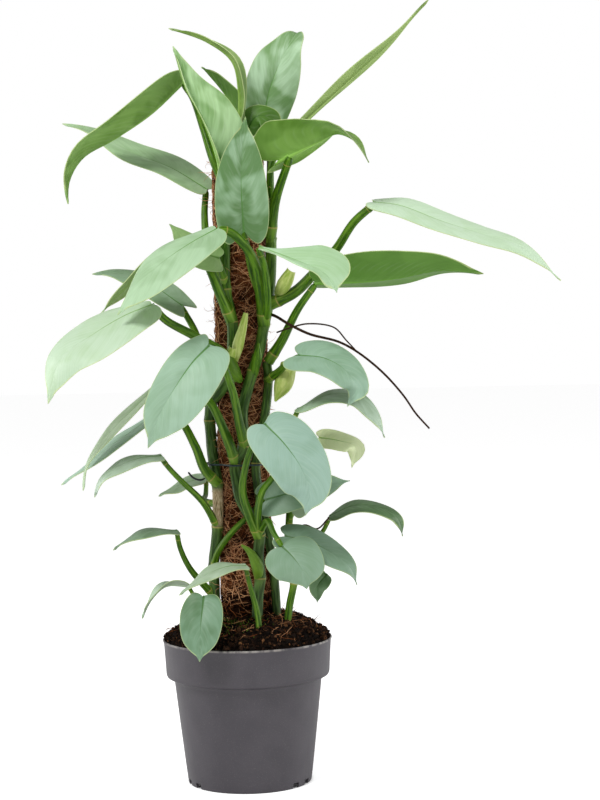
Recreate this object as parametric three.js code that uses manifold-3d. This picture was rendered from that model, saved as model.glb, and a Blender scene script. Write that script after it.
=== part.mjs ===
// A silver queen philodendron climbing a coir pole in a nursery pot.
// Millimetres, +Z up. The origin is the middle of the pot's foot, and the front of the plant faces -Y.
import * as THREE from "three";
import { mergeVertices } from "three/addons/utils/BufferGeometryUtils.js";
import Module from "manifold-3d";

const wasm = await Module();
wasm.setup();

// Driving dimensions
const GAP = 0.3; // clearance between pieces that touch
const POT_HEIGHT = 145;
const RIM_RADIUS = 85;
const FOOT_RADIUS = 62;
const POT_WALL = 1.8;
const COLLAR_HEIGHT = 37;
const CHANNEL_HEIGHT = 6; // the drained ring of the floor stands this far above the foot
const DRAIN_HOLES = 8;
const DRAIN_RADIUS = 4.5;
const DRAIN_CIRCLE = 53; // radius of the ring of drain holes
const NOTCH_PAIRS = [57, 177, 297]; // degrees round the foot
const NOTCH_SPREAD = 9; // degrees from a pair's middle to each notch
const NOTCH_SIZE = [8, 9, 6]; // across, through the skirt, up
const MOUND_HEIGHT = 170; // top of the soil, round the pole
const POLE_BOTTOM = 28;
const SLEEVE_TOP = 628;
const STAKE_TOP = 632;
const STAKE_RADIUS = 12;
const SLEEVE_RADIUS = 25.6;
const SLEEVE_SHAG = 0.8;
const CLIMB_RADIUS = SLEEVE_RADIUS + SLEEVE_SHAG + GAP; // where a stem's skin meets the sleeve
const BLADE_THICKNESS = 0.8;
const STUB_LENGTH = 9; // the joint at a petiole's top, which belongs to the blade
const KEEL_DEPTH = 1.7; // how much thicker the midrib is than the blade, at the petiole
const RIPPLES = 5; // half waves along a margin
const BLADE_ROWS = 7;
const BLADE_COLUMNS = 2; // per half, from the midrib to the margin
const STALK_SIDES = 5;
const STALK_TAPER = [1.7, 1.25, 1]; // a petiole's radius at its foot, middle and top, over its thickness
const NODE_SWELL = 1.12;
const NODE_LENGTH = 12;
const ROOT_NUB = 9; // the green foot of an aerial root, which belongs to the stem
const BORE_CLEARANCE = 0.8; // round and below a stem's foot in the soil
const SOIL_LUMPS = 1.6;
const WIRE_RADIUS = 0.9;
const WIRE_HEIGHT = 321;

// Materials
const finish = (color, roughness) => new THREE.MeshStandardMaterial({ color, roughness, metalness: 0 });
const silverLeaf = finish(0xa9c9b4, 0.55);
const paleLeaf = finish(0xc6dfc0, 0.55);
const darkLeaf = finish(0x7d9b80, 0.5);
const greenStem = finish(0x4f7a2c, 0.45);
const potPlastic = finish(0x57534f, 0.5);
const peat = finish(0x3a2a1e, 0.95);
const coir = finish(0x7a4a2e, 0.95);
const bareWood = finish(0xb08a5c, 0.8);
const rootBark = finish(0x4a3524, 0.8);
const coatedWire = finish(0x2c3a40, 0.4);

// Solids
const vector = (p) => new THREE.Vector3(p[0], p[1], p[2]);

function solidOf(positions, triangles) {
  const vertProperties = new Float32Array(positions);
  const triVerts = new Uint32Array(triangles);
  return new wasm.Manifold(new wasm.Mesh({ numProp: 3, vertProperties, triVerts }));
}

function solidFrom(geometry) {
  const bare = geometry.clone();
  bare.deleteAttribute("normal");
  bare.deleteAttribute("uv");
  const merged = mergeVertices(bare, 1e-3);
  return solidOf(merged.attributes.position.array, merged.index.array);
}

const join = (solids) => solids.reduce((whole, piece) => whole.add(piece));
const cut = (solid, tools) => tools.reduce((whole, tool) => whole.subtract(tool), solid);

function meshOf(name, solid, material) {
  const { vertProperties, triVerts } = solid.getMesh();
  const geometry = new THREE.BufferGeometry();
  geometry.setAttribute("position", new THREE.BufferAttribute(vertProperties, 3));
  geometry.setIndex(new THREE.BufferAttribute(triVerts, 1));
  geometry.computeVertexNormals();
  const mesh = new THREE.Mesh(geometry, material);
  mesh.name = name;
  return mesh;
}

// A repeatable draw between -1 and 1.
function seeded(seed) {
  let state = seed;
  return () => {
    state = (state * 1664525 + 1013904223) % 4294967296;
    return state / 2147483648 - 1;
  };
}

function turned(profile, sides) {
  const geometry = new THREE.LatheGeometry(profile.map(([r, z]) => new THREE.Vector2(r, z)), sides);
  return geometry.rotateX(Math.PI / 2);
}

function cylinder(radius, bottom, top, sides, x = 0, y = 0) {
  const geometry = new THREE.CylinderGeometry(radius, radius, top - bottom, sides);
  return solidFrom(geometry.rotateX(Math.PI / 2).translate(x, y, (top + bottom) / 2));
}

// A round tube along a smooth curve, with closed ends. Radii are spread evenly from its start to its end.
function sweep(points, radii, sides, steps, { from = 0, to = 1, knuckle = () => 1 } = {}) {
  const curve = new THREE.CatmullRomCurve3(points.map(vector), false, "centripetal");
  const positions = [];
  const triangles = [];
  let across = null;
  for (let i = 0; i <= steps; i++) {
    const u = Math.min(from + ((to - from) * i) / steps, 1);
    const centre = curve.getPointAt(u);
    const along = curve.getTangentAt(u);
    across ??= Math.abs(along.z) > 0.9 ? new THREE.Vector3(1, 0, 0) : new THREE.Vector3(0, 0, 1);
    across.addScaledVector(along, -across.dot(along)).normalize();
    const side = new THREE.Vector3().crossVectors(along, across);
    const place = u * (radii.length - 1);
    const low = Math.min(Math.floor(place), radii.length - 2);
    const radius = THREE.MathUtils.lerp(radii[low], radii[low + 1], place - low) * knuckle(centre);
    for (let k = 0; k < sides; k++) {
      const turn = (2 * Math.PI * k) / sides;
      const rim = centre.clone().addScaledVector(across, radius * Math.cos(turn));
      positions.push(...rim.addScaledVector(side, radius * Math.sin(turn)).toArray());
    }
  }
  for (let i = 0; i < steps; i++)
    for (let k = 0; k < sides; k++) {
      const [a, b] = [i * sides + k, i * sides + ((k + 1) % sides)];
      triangles.push(a, b, b + sides, a, b + sides, a + sides);
    }
  for (let k = 1; k < sides - 1; k++) {
    const last = steps * sides;
    triangles.push(0, k + 1, k, last, last + k, last + k + 1);
  }
  return solidOf(positions, triangles);
}

// Pot
function makePot() {
  const collarBottom = POT_HEIGHT - COLLAR_HEIGHT;
  const shell = solidFrom(
    turned(
      [
        [0, 0],
        [42, 0],
        [46, CHANNEL_HEIGHT],
        [FOOT_RADIUS - POT_WALL, CHANNEL_HEIGHT],
        [FOOT_RADIUS - POT_WALL, 0],
        [FOOT_RADIUS, 0],
        [64, 15],
        [74.5, collarBottom - 3],
        [79, collarBottom - 1],
        [82, collarBottom + 3],
        [84, POT_HEIGHT - 4],
        [RIM_RADIUS, POT_HEIGHT],
        [RIM_RADIUS - POT_WALL, POT_HEIGHT],
        [80, collarBottom + 5],
        [74.5 - POT_WALL, collarBottom],
        [64 - POT_WALL, 15],
        [61, CHANNEL_HEIGHT + POT_WALL],
        [45, CHANNEL_HEIGHT + POT_WALL],
        [41, POT_WALL],
        [0, POT_WALL],
      ],
      30,
    ),
  );
  const drains = [];
  for (let i = 0; i < DRAIN_HOLES; i++) {
    const turn = (2 * Math.PI * (i + 0.5)) / DRAIN_HOLES;
    const [x, y] = [DRAIN_CIRCLE * Math.cos(turn), DRAIN_CIRCLE * Math.sin(turn)];
    drains.push(cylinder(DRAIN_RADIUS, 2, 12, 10, x, y));
  }
  const notches = [];
  for (const middle of NOTCH_PAIRS)
    for (const shift of [-NOTCH_SPREAD, NOTCH_SPREAD]) {
      const notch = new THREE.BoxGeometry(...NOTCH_SIZE).translate(0, -FOOT_RADIUS, NOTCH_SIZE[2] / 2 - 0.6);
      notches.push(solidFrom(notch.rotateZ(THREE.MathUtils.degToRad(middle + shift))));
    }
  return cut(shell, [...drains, ...notches]);
}

// Soil: a domed fill, lumpy on top
const moundHeight = (r) => POT_HEIGHT + (MOUND_HEIGHT - POT_HEIGHT) * (1 - (r / RIM_RADIUS) ** 3);

function makeSoil(holes) {
  const rings = [79, 70, 58, 46, 36, 28];
  const geometry = turned(
    [
      [0, POT_WALL + GAP],
      [40.8, POT_WALL + GAP],
      [44.8, CHANNEL_HEIGHT + POT_WALL + GAP],
      [60.4, CHANNEL_HEIGHT + POT_WALL + GAP],
      [61.8, 15],
      [72.3, 110],
      [79.5, 115],
      [82.2, POT_HEIGHT - 2],
      ...rings.map((r) => [r, moundHeight(r)]),
      [0, MOUND_HEIGHT],
    ],
    20,
  );
  geometry.deleteAttribute("normal");
  geometry.deleteAttribute("uv");
  const lumpy = mergeVertices(geometry, 1e-3);
  const draw = seeded(7);
  const position = lumpy.attributes.position;
  for (let i = 0; i < position.count; i++) {
    const r = Math.hypot(position.getX(i), position.getY(i));
    if (position.getZ(i) > POT_HEIGHT && r > 30) position.setZ(i, position.getZ(i) + SOIL_LUMPS * draw());
  }
  return cut(solidOf(position.array, lumpy.index.array), holes);
}

// Pole: a wooden stake in a sleeve of coir
function makeSleeve() {
  const rows = 16;
  const bare = MOUND_HEIGHT + 6; // above this the coir is shaggy
  const pitch = (SLEEVE_TOP - bare) / rows;
  const outer = Array.from({ length: rows + 1 }, (_, i) => [SLEEVE_RADIUS, bare + pitch * i]);
  const bore = STAKE_RADIUS + GAP;
  const geometry = turned(
    [[bore, POLE_BOTTOM], [SLEEVE_RADIUS, POLE_BOTTOM], ...outer, [bore, SLEEVE_TOP], [bore, POLE_BOTTOM]],
    16,
  );
  geometry.deleteAttribute("normal");
  geometry.deleteAttribute("uv");
  const shaggy = mergeVertices(geometry, 1e-3);
  const draw = seeded(11);
  const position = shaggy.attributes.position;
  for (let i = 0; i < position.count; i++) {
    const r = Math.hypot(position.getX(i), position.getY(i));
    if (position.getZ(i) < bare + 1 || r < SLEEVE_RADIUS - 1) continue;
    const scale = 1 + (SLEEVE_SHAG * draw()) / r;
    position.setXY(i, position.getX(i) * scale, position.getY(i) * scale);
  }
  return solidOf(position.array, shaggy.index.array);
}

// Half outlines of a blade as [share of the length, share of the half width], from the petiole to the tip.
const heart = [[0, 0], [-0.09, 0.3], [-0.12, 0.6], [-0.03, 0.88], [0.14, 1], [0.38, 0.97], [0.62, 0.75],
  [0.8, 0.42], [0.92, 0.11], [1, 0]];
const arrow = [[0, 0], [-0.2, 0.1], [-0.3, 0.34], [-0.28, 0.64], [-0.16, 0.88], [0, 1], [0.2, 0.92], [0.45, 0.8],
  [0.7, 0.54], [0.88, 0.16], [1, 0]];
const oval = [[0, 0], [-0.06, 0.3], [-0.05, 0.6], [0.08, 0.87], [0.28, 1], [0.5, 0.97], [0.7, 0.8],
  [0.84, 0.46], [0.93, 0.13], [1, 0]];
const lance = [[0, 0], [-0.03, 0.3], [0, 0.62], [0.12, 0.9], [0.3, 1], [0.5, 0.92], [0.68, 0.7], [0.84, 0.35],
  [0.94, 0.09], [1, 0]];
const kite = [[0, 0], [0.08, 0.1], [0.25, 0.3], [0.45, 0.66], [0.62, 0.94], [0.76, 1], [0.88, 0.72],
  [0.94, 0.3], [0.97, 0.1], [1, 0]];
const spoon = [[0, 0], [-0.02, 0.28], [0.03, 0.6], [0.14, 0.86], [0.32, 1], [0.52, 0.97], [0.7, 0.8],
  [0.84, 0.46], [0.93, 0.13], [1, 0]];

// A blade bent along its midrib. Its two halves rise by the fold, and roll on towards the margin by the cup.
function makeBlade(leaf) {
  const { outline, width, fold = 10, cup = -20, face, tipFace = face, left = 1, right = 1 } = leaf;
  const curve = new THREE.CatmullRomCurve3(leaf.rib.map(vector), false, "centripetal");
  const length = curve.getLength();
  const margin = new THREE.CatmullRomCurve3(outline.map(([a, c]) => new THREE.Vector3(a, c, 0)));
  const radians = THREE.MathUtils.degToRad;

  function frameAt(a) {
    const u = THREE.MathUtils.clamp(a, 0, 1);
    const along = curve.getTangentAt(u);
    const origin = curve.getPointAt(u).addScaledVector(along, Math.min(a, 0) * length);
    const up = vector(face).normalize().lerp(vector(tipFace).normalize(), u);
    up.addScaledVector(along, -up.dot(along)).normalize();
    return { origin, along, up, out: new THREE.Vector3().crossVectors(along, up) };
  }

  // A point of the blade, w of the way from the midrib to the margin, and the blade's normal there.
  function surface(t, w, side) {
    const edge = margin.getPoint(t);
    const a = THREE.MathUtils.lerp(t ** 1.6, edge.x, w);
    const c = edge.y * w * width * (side < 0 ? left : right);
    const { origin, up, out } = frameAt(a);
    const lift = radians(fold + (cup * w) / 2);
    const ripple = w * w * Math.sin(Math.PI * (RIPPLES * t + (side < 0 ? 0.6 : 0)));
    const point = origin.clone().addScaledVector(out, side * c * Math.cos(lift));
    point.addScaledVector(up, c * Math.sin(lift) + ripple);
    const tilt = radians(fold + cup * w);
    const normal = up.clone().multiplyScalar(Math.cos(tilt)).addScaledVector(out, -side * Math.sin(tilt));
    return { point, normal };
  }

  const positions = [];
  const index = new Map();
  function vertex(row, column, skin) {
    const whole = Math.abs(column);
    const end = row === 0 || row === BLADE_ROWS;
    const key = [row, end ? 0 : column, skin].join();
    if (!index.has(key)) {
      index.set(key, positions.length / 3);
      const t = row / BLADE_ROWS;
      const middle = end || whole === 0;
      const { point, normal } = surface(t, middle ? 0 : whole / BLADE_COLUMNS, Math.sign(column) || 1);
      const keel = middle ? (BLADE_THICKNESS + KEEL_DEPTH * (1 - t)) / Math.cos(radians(fold)) : BLADE_THICKNESS;
      if (middle) normal.copy(frameAt(t ** 1.6).up);
      positions.push(...point.addScaledVector(normal, skin === "under" ? -keel : 0).toArray());
    }
    return index.get(key);
  }
  const triangles = [];
  function triangle(a, b, c) {
    if (a !== b && b !== c && a !== c) triangles.push(a, b, c);
  }
  for (let row = 0; row < BLADE_ROWS; row++)
    for (let column = -BLADE_COLUMNS; column < BLADE_COLUMNS; column++) {
      const corners = (skin) => [
        vertex(row, column, skin),
        vertex(row, column + 1, skin),
        vertex(row + 1, column + 1, skin),
        vertex(row + 1, column, skin),
      ];
      const [a, b, c, d] = corners("over");
      const [e, f, g, h] = corners("under");
      const leans = column < 0; // the split of each cell mirrors from half to half
      if (leans) {
        triangle(a, b, c);
        triangle(a, c, d);
        triangle(e, g, f);
        triangle(e, h, g);
      } else {
        triangle(a, b, d);
        triangle(b, c, d);
        triangle(e, h, f);
        triangle(f, h, g);
      }
    }
  for (const side of [-BLADE_COLUMNS, BLADE_COLUMNS])
    for (let row = 0; row < BLADE_ROWS; row++) {
      const [a, b] = [vertex(row, side, "over"), vertex(row + 1, side, "over")];
      const [c, d] = [vertex(row + 1, side, "under"), vertex(row, side, "under")];
      const turns = side > 0;
      triangle(a, turns ? c : b, turns ? b : c);
      triangle(a, turns ? d : c, turns ? c : d);
    }
  return solidOf(positions, triangles);
}

// The petiole and the stub above it follow one curve, so that their end faces meet across the gap.
function stalkOf(leaf) {
  const base = vector(leaf.rib[0]);
  const thick = leaf.thick ?? 3;
  const top = base.clone().addScaledVector(vector(leaf.face).normalize(), -0.5 * thick);
  const points = [...leaf.stalk, top.toArray()];
  const length = new THREE.CatmullRomCurve3(points.map(vector), false, "centripetal").getLength();
  const petioleEnd = 1 - (STUB_LENGTH + GAP) / length;
  const radii = STALK_TAPER.map((share) => share * thick);
  const petiole = sweep(points, radii, STALK_SIDES, leaf.steps ?? 6, { to: petioleEnd });
  const stub = sweep(points, radii, STALK_SIDES, 1, { from: 1 - STUB_LENGTH / length });
  return { petiole, stub };
}

// A stem climbs the pole: each point is [degrees round from the front, height, distance off the sleeve].
function onPole(climb, radius) {
  const marks = climb.map(([degrees, height, off = 0]) => new THREE.Vector3(degrees, height, off));
  const polar = new THREE.CatmullRomCurve3(marks);
  return polar.getPoints(3 * climb.length).map(({ x: degrees, y: height, z: off }) => {
    const turn = THREE.MathUtils.degToRad(degrees);
    const reach = CLIMB_RADIUS + radius + off;
    return [reach * Math.sin(turn), -reach * Math.cos(turn), height];
  });
}

const stems = {
  vine_left: {
    radius: 5.5,
    climb: [[-82, 128], [-82, 150], [-82, 186], [-84, 217], [-66, 238], [-57, 259], [-55, 302], [-72, 330],
      [-86, 347], [-90, 364, 1], [-82, 378], [-42, 393], [-17, 411, 1], [-15, 428], [-14, 462], [-25, 494],
      [-25, 540], [-20, 580], [-12, 614]],
    nodes: [217, 259, 302, 364, 411, 462, 494, 580],
  },
  vine_front: {
    radius: 5.5,
    climb: [[20, 128], [20, 150], [22, 190], [27, 208], [23, 232, 2], [23, 252, 6], [10, 270, 9], [-4, 288, 8],
      [-10, 304, 3], [-14, 322], [2, 340], [1, 373], [10, 394], [21, 413], [36, 436], [45, 459, 1], [60, 480],
      [76, 520], [80, 545]],
    nodes: [208, 252, 322, 340, 413, 459, 480, 545],
  },
  vine_right: {
    radius: 4.5,
    climb: [[78, 128], [78, 150], [70, 190], [56, 230], [42, 262], [28, 295], [24, 322], [44, 364], [58, 405],
      [54, 422]],
    nodes: [230, 322, 405],
  },
};

// Shoots and stalks that rise from the soil by themselves.
const shoots = {
  shoot_right: {
    radius: 4,
    path: [[40, -22, 128], [40, -22, 150], [43, -24, 178], [48, -28, 203], [49, -28, 228], [43, -28, 246],
      [44, -26, 262], [45, -24, 276]],
  },
};

const leaves = [
  // Top left: hangs over the left side, folded like a boat.
  { name: "leaf_01", on: "vine_left", outline: lance, width: 32, fold: 55, cup: -40, face: [-0.5, 0, 0.85],
    rib: [[-53, -8, 700], [-84, -22, 669], [-119, -34, 644], [-150, -42, 625], [-163, -46, 603],
      [-165, -48, 580]],
    stalk: [[-12, -31, 596], [-23, -27, 622], [-33, -14, 654], [-43, -8, 684]] },
  // Upright left, half closed, with its inner side turned to the right.
  { name: "leaf_02", on: "vine_left", outline: lance, width: 38, fold: 42, face: [0.85, -0.5, 0.2], left: 0.6,
    rib: [[-14, -44, 592], [-18, -48, 622], [-31, -52, 659], [-47, -50, 690], [-59, -44, 731]],
    stalk: [[-14, -31, 545], [-15, -39, 568]] },
  // The newest leaf, still rolled.
  { name: "leaf_03", on: "vine_left", outline: lance, width: 8.5, fold: 55, face: [0.6, -0.2, 0.7],
    rib: [[4, -28, 660], [4, -30, 690], [-2, -27, 717], [-27, -18, 738], [-65, -10, 753]],
    stalk: [[-6, -31, 605], [-1, -31, 632]], thick: 2.4 },
  { name: "leaf_04", on: "vine_left", outline: lance, width: 14, fold: 50, face: [0.5, 0.3, 0.8],
    rib: [[4, 6, 668], [-15, 10, 695], [-34, 10, 717]],
    stalk: [[-6, -31, 606], [-4, -29, 634], [-1, -12, 650]], thick: 2.2 },
  // Top middle: stands up and bends over backwards.
  { name: "leaf_05", on: "vine_front", outline: lance, width: 27, fold: 20, face: [0.35, -0.9, 0.1],
    tipFace: [0.1, 0.2, 0.95],
    rib: [[25, 2, 654], [33, -4, 690], [46, -6, 722], [57, 0, 742], [62, 12, 749], [64, 22, 746]],
    stalk: [[31, -8, 545], [32, 0, 600], [32, 1, 628], [28, 2, 644]] },
  // Front middle: upright, face to the front.
  { name: "leaf_06", on: "vine_front", outline: heart, width: 26, fold: 18, face: [0, -1, 0.1],
    rib: [[6, -63, 551], [5, -70, 601], [10, -64, 660]],
    stalk: [[25, -22, 478], [14, -42, 508], [9, -56, 534]] },
  // Right top: underside to the front, tip turned over.
  { name: "leaf_07", on: "vine_front", outline: arrow, width: 42, left: 0.35, fold: 25, face: [-0.2, 0.75, 0.6],
    tipFace: [0.3, -0.6, 0.7],
    rib: [[52, -40, 623], [80, -52, 636], [99, -58, 643], [118, -60, 633], [129, -58, 614]],
    stalk: [[31, -12, 545], [37, -22, 580]], thick: 3.6 },
  { name: "leaf_08", on: "vine_front", outline: oval, width: 13, fold: 12, face: [0, -0.9, 0.45],
    rib: [[10, -22, 650], [20, -26, 663], [34, -24, 662], [46, -18, 653]],
    stalk: [[32, -6, 546], [29, -12, 575], [24, -19, 600], [19, -24, 622], [12, -24, 642]], thick: 2.4 },
  // The highest tip: a long blade that rises to the right.
  { name: "leaf_09", on: "vine_front", outline: lance, width: 17, fold: 15, face: [-0.6, 0.25, 0.7],
    rib: [[63, 5, 658], [114, 10, 703], [160, 10, 744], [193, 5, 779]],
    stalk: [[31, -8, 540], [32, -10, 580], [33, -10, 614], [43, -4, 638]] },
  { name: "leaf_10", on: "vine_left", outline: lance, width: 30, fold: 12, face: [0.25, -0.4, 0.88],
    rib: [[-32, 5, 595], [-68, 20, 618], [-106, 30, 634], [-145, 36, 656], [-178, 40, 666]],
    stalk: [[-15, -31, 505], [-30, -17, 535], [-34, -2, 568]] },
  // The big blade in front of the pole's left side.
  { name: "leaf_11", on: "vine_front", outline: spoon, width: 34, fold: 6, cup: -30, face: [-0.35, -0.5, 0.75],
    rib: [[-19, -85, 552], [-44, -100, 538], [-74, -112, 517], [-96, -116, 493], [-113, -114, 472]],
    stalk: [[24, -26, 460], [22, -38, 483], [20, -48, 498], [17, -62, 518], [7, -73, 536], [-7, -81, 549]],
    thick: 4, steps: 10 },
  { name: "leaf_12", on: "vine_left", outline: spoon, width: 37, fold: 6, cup: -30, face: [-0.35, -0.55, 0.75],
    pale: true,
    rib: [[-83, -75, 481], [-108, -90, 471], [-137, -104, 454], [-167, -112, 432], [-181, -112, 389]],
    stalk: [[-7, -32, 405], [-15, -42, 429], [-43, -58, 449], [-71, -70, 466]], thick: 3.6, steps: 9 },
  { name: "leaf_13", on: "vine_left", outline: lance, width: 20, fold: 10, face: [-0.45, 0.3, 0.8], pale: true,
    rib: [[-53, -32, 539], [-87, -40, 520], [-112, -44, 496], [-136, -44, 473]],
    stalk: [[-8, -33, 464], [-19, -46, 492], [-35, -42, 527]], thick: 3.8 },
  { name: "leaf_14", on: "vine_left", outline: heart, width: 24, fold: 8, face: [0.3, -0.45, 0.85],
    rib: [[-60, 10, 480], [-92, 18, 502], [-124, 22, 513], [-150, 24, 513]],
    stalk: [[-33, -4, 378], [-37, 2, 420], [-46, 6, 452]] },
  // Front left, hanging face to the front.
  { name: "leaf_15", on: "vine_front", outline: oval, width: 35, fold: 20, cup: -30,
    face: [0.1, -0.85, 0.45], right: 0.6,
    rib: [[-29, -90, 440], [-44, -102, 425], [-61, -112, 401], [-75, -116, 377], [-87, -114, 345]],
    stalk: [[2, -33, 340], [-2, -50, 362], [-8, -64, 397], [-17, -78, 424]], thick: 3, steps: 9 },
  { name: "leaf_16", on: "vine_front", outline: lance, width: 21, fold: 10, face: [-0.65, -0.25, 0.7],
    rib: [[-78, -30, 406], [-104, -40, 381], [-131, -46, 355], [-151, -48, 328], [-157, -48, 300]],
    stalk: [[-7, -32, 322], [-15, -44, 349], [-32, -46, 386], [-55, -38, 403]], thick: 3.2, steps: 9 },
  { name: "leaf_17", on: "vine_left", outline: lance, width: 24, fold: 8, face: [-0.5, -0.2, 0.8],
    rib: [[-87, -4, 373], [-101, -8, 362], [-132, -16, 341], [-157, -20, 321], [-181, -22, 304]],
    stalk: [[-26, -20, 302], [-38, -28, 317], [-47, -31, 341], [-64, -20, 368]], thick: 3.2 },
  { name: "leaf_18", on: "vine_left", outline: lance, width: 17, fold: 4, face: [-0.1, -0.25, 0.95],
    rib: [[-80, -50, 333], [-99, -58, 332], [-120, -64, 325], [-136, -66, 314], [-144, -66, 295]],
    stalk: [[-27, -18, 259], [-40, -34, 285], [-61, -44, 308], [-73, -48, 322]], thick: 2.4 },
  { name: "leaf_19", on: "vine_left", outline: lance, width: 18, fold: 8, face: [-0.2, -0.3, 0.93], pale: true,
    rib: [[-40, 38, 303], [-63, 46, 297], [-90, 50, 284]],
    stalk: [[-28, -19, 281], [-42, -4, 284], [-40, 21, 287]], thick: 2.2 },
  { name: "leaf_20", on: "vine_left", outline: lance, width: 18, fold: 4, face: [0, -0.1, 1],
    rib: [[-67, -30, 257], [-87, -38, 259], [-108, -44, 255], [-129, -46, 241]],
    stalk: [[-33, -5, 188], [-55, -18, 217], [-64, -24, 238]], thick: 2.3 },
  { name: "leaf_21", on: "stalk_front", outline: lance, width: 16, fold: 8, face: [-0.15, -0.25, 0.95],
    rib: [[1, -62, 225], [-15, -70, 226], [-37, -78, 219], [-63, -80, 200]],
    stalk: [[13, -52, 128], [13, -52, 150], [12, -53, 174], [6, -58, 202]], thick: 2.2 },
  { name: "leaf_22", on: "stalk_left", outline: lance, width: 10, fold: 30, face: [-0.5, -0.05, 0.85],
    rib: [[-58, -20, 201], [-79, -28, 202], [-93, -34, 190], [-103, -36, 171]],
    stalk: [[-49, -18, 128], [-49, -18, 148], [-50, -19, 172], [-53, -20, 192]], thick: 1.8 },
  // Low front: hangs over the rim.
  { name: "leaf_23", on: "stalk_rim", outline: oval, width: 20.5, fold: 10, face: [0, -0.93, 0.35],
    rib: [[-39, -84, 198], [-42, -100, 169], [-43, -104, 139]],
    stalk: [[-36, -60, 128], [-36, -60, 148], [-36, -63, 176], [-38, -76, 194]], thick: 2.2 },
  // Right of the pole: pale, its tip towards the viewer.
  { name: "leaf_24", on: "vine_front", outline: kite, width: 33, right: 0.4, fold: 20, face: [0.05, -0.55, 0.85], pale: true,
    rib: [[21, -86, 534], [60, -96, 519], [83, -100, 508], [95, -100, 489]],
    stalk: [[24, -24, 460], [27, -46, 483], [26, -66, 512]], thick: 3 },
  { name: "leaf_25", on: "vine_right", outline: lance, width: 36, fold: 30, face: [0, 0.5, 0.87],
    rib: [[75, -30, 499], [124, -38, 500], [158, -42, 503], [197, -44, 509], [239, -44, 505]],
    stalk: [[27, -20, 422], [41, -26, 443], [57, -30, 473]], thick: 3.2 },
  // Far right: the longest blade.
  { name: "leaf_26", on: "vine_front", outline: lance, width: 30, fold: 8, face: [0.3, -0.4, 0.85], pale: true,
    rib: [[135, -30, 577], [159, -38, 573], [198, -46, 557], [236, -50, 544], [275, -52, 530], [314, -50, 497]],
    stalk: [[28, -18, 478], [55, -24, 491], [75, -14, 510], [96, -16, 532], [114, -24, 558]], thick: 3.8,
    steps: 9 },
  { name: "leaf_27", on: "vine_right", outline: heart, width: 28, fold: 10, face: [0.25, -0.6, 0.75],
    rib: [[58, -62, 429], [82, -72, 426], [102, -78, 414], [112, -80, 397], [103, -78, 379]],
    stalk: [[27, -20, 405], [36, -34, 412], [46, -50, 421]], thick: 2.8 },
  { name: "leaf_28", on: "vine_front", outline: lance, width: 22, fold: 4, face: [-0.1, -0.15, 0.98],
    tipFace: [0.6, -0.5, 0.6],
    rib: [[56, -45, 377], [87, -52, 390], [114, -56, 387], [129, -56, 371], [140, -54, 347]],
    stalk: [[14, -38, 254], [15, -60, 280], [19, -64, 297], [30, -62, 312], [48, -52, 360]], thick: 2.4,
    steps: 9 },
  { name: "leaf_29", on: "shoot_right", outline: heart, width: 15, fold: 8, face: [0.1, -0.6, 0.75], pale: true,
    rib: [[77, -10, 345], [96, -16, 342], [111, -20, 336], [108, -20, 315]],
    stalk: [[44, -24, 264], [56, -10, 296], [72, -8, 330]], thick: 2 },
  // Big blade right of the pole, face to the front.
  { name: "leaf_30", on: "vine_front", outline: oval, width: 31, fold: 10, face: [0.15, -0.85, 0.5],
    rib: [[24, -88, 364], [41, -100, 347], [57, -106, 324], [65, -106, 300], [61, -102, 277]],
    stalk: [[14, -38, 250], [6, -50, 273], [0, -56, 296], [4, -66, 324], [15, -80, 351]], thick: 2.8, steps: 9 },
  { name: "leaf_31", on: "vine_left", outline: heart, width: 20, fold: 10, face: [0.1, -0.85, 0.5], dark: true,
    rib: [[23, -48, 288], [56, -52, 297], [83, -50, 302], [105, -44, 305]],
    stalk: [[-33, -4, 217], [-26, -20, 236], [-10, -31, 257], [5, -32, 271], [15, -35, 281]], thick: 2.4,
    steps: 9 },
  { name: "leaf_32", on: "shoot_right", outline: lance, width: 18, fold: 6, face: [0, -0.28, 0.96],
    rib: [[86, 0, 266], [110, -6, 276], [135, -10, 274], [152, -12, 264], [158, -12, 245]],
    stalk: [[44, -27, 244], [58, -12, 238], [76, -2, 248]], thick: 2 },
  { name: "leaf_33", on: "shoot_right", outline: heart, width: 20, fold: 8, face: [0.25, -0.65, 0.7], dark: true,
    rib: [[42, -52, 252], [65, -60, 247], [89, -66, 234], [103, -68, 222], [110, -66, 205]],
    stalk: [[46, -28, 240], [43, -40, 246]], thick: 2.2 },
  { name: "leaf_34", on: "vine_front", outline: oval, width: 28, fold: 8, face: [0.1, -0.8, 0.55], dark: true,
    rib: [[38, -80, 245], [48, -90, 236], [57, -96, 223], [61, -98, 206]],
    stalk: [[14, -38, 254], [24, -58, 268], [29, -68, 258]], thick: 2.4 },
  { name: "leaf_35", on: "shoot_right", outline: lance, width: 10, fold: 20, face: [0.3, -0.6, 0.6], dark: true,
    rib: [[80, -35, 211], [71, -42, 200], [71, -46, 185]], stalk: [[49, -28, 210], [66, -30, 222]], thick: 1.6 },
  { name: "leaf_36", on: "shoot_right", outline: heart, width: 18, fold: 8, face: [0, -0.9, 0.3], pale: true,
    rib: [[46, -34, 276], [52, -38, 300], [58, -36, 328]], stalk: [[44, -26, 258], [46, -32, 266]], thick: 1.8 },
  { name: "leaf_37", on: "vine_left", outline: heart, width: 18, fold: 8, face: [0.3, -0.8, 0.5], dark: true,
    rib: [[-20, -50, 525], [-41, -62, 533], [-65, -66, 558]], stalk: [[-14, -30, 500], [-17, -42, 514]],
    thick: 2.4 },
];

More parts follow.
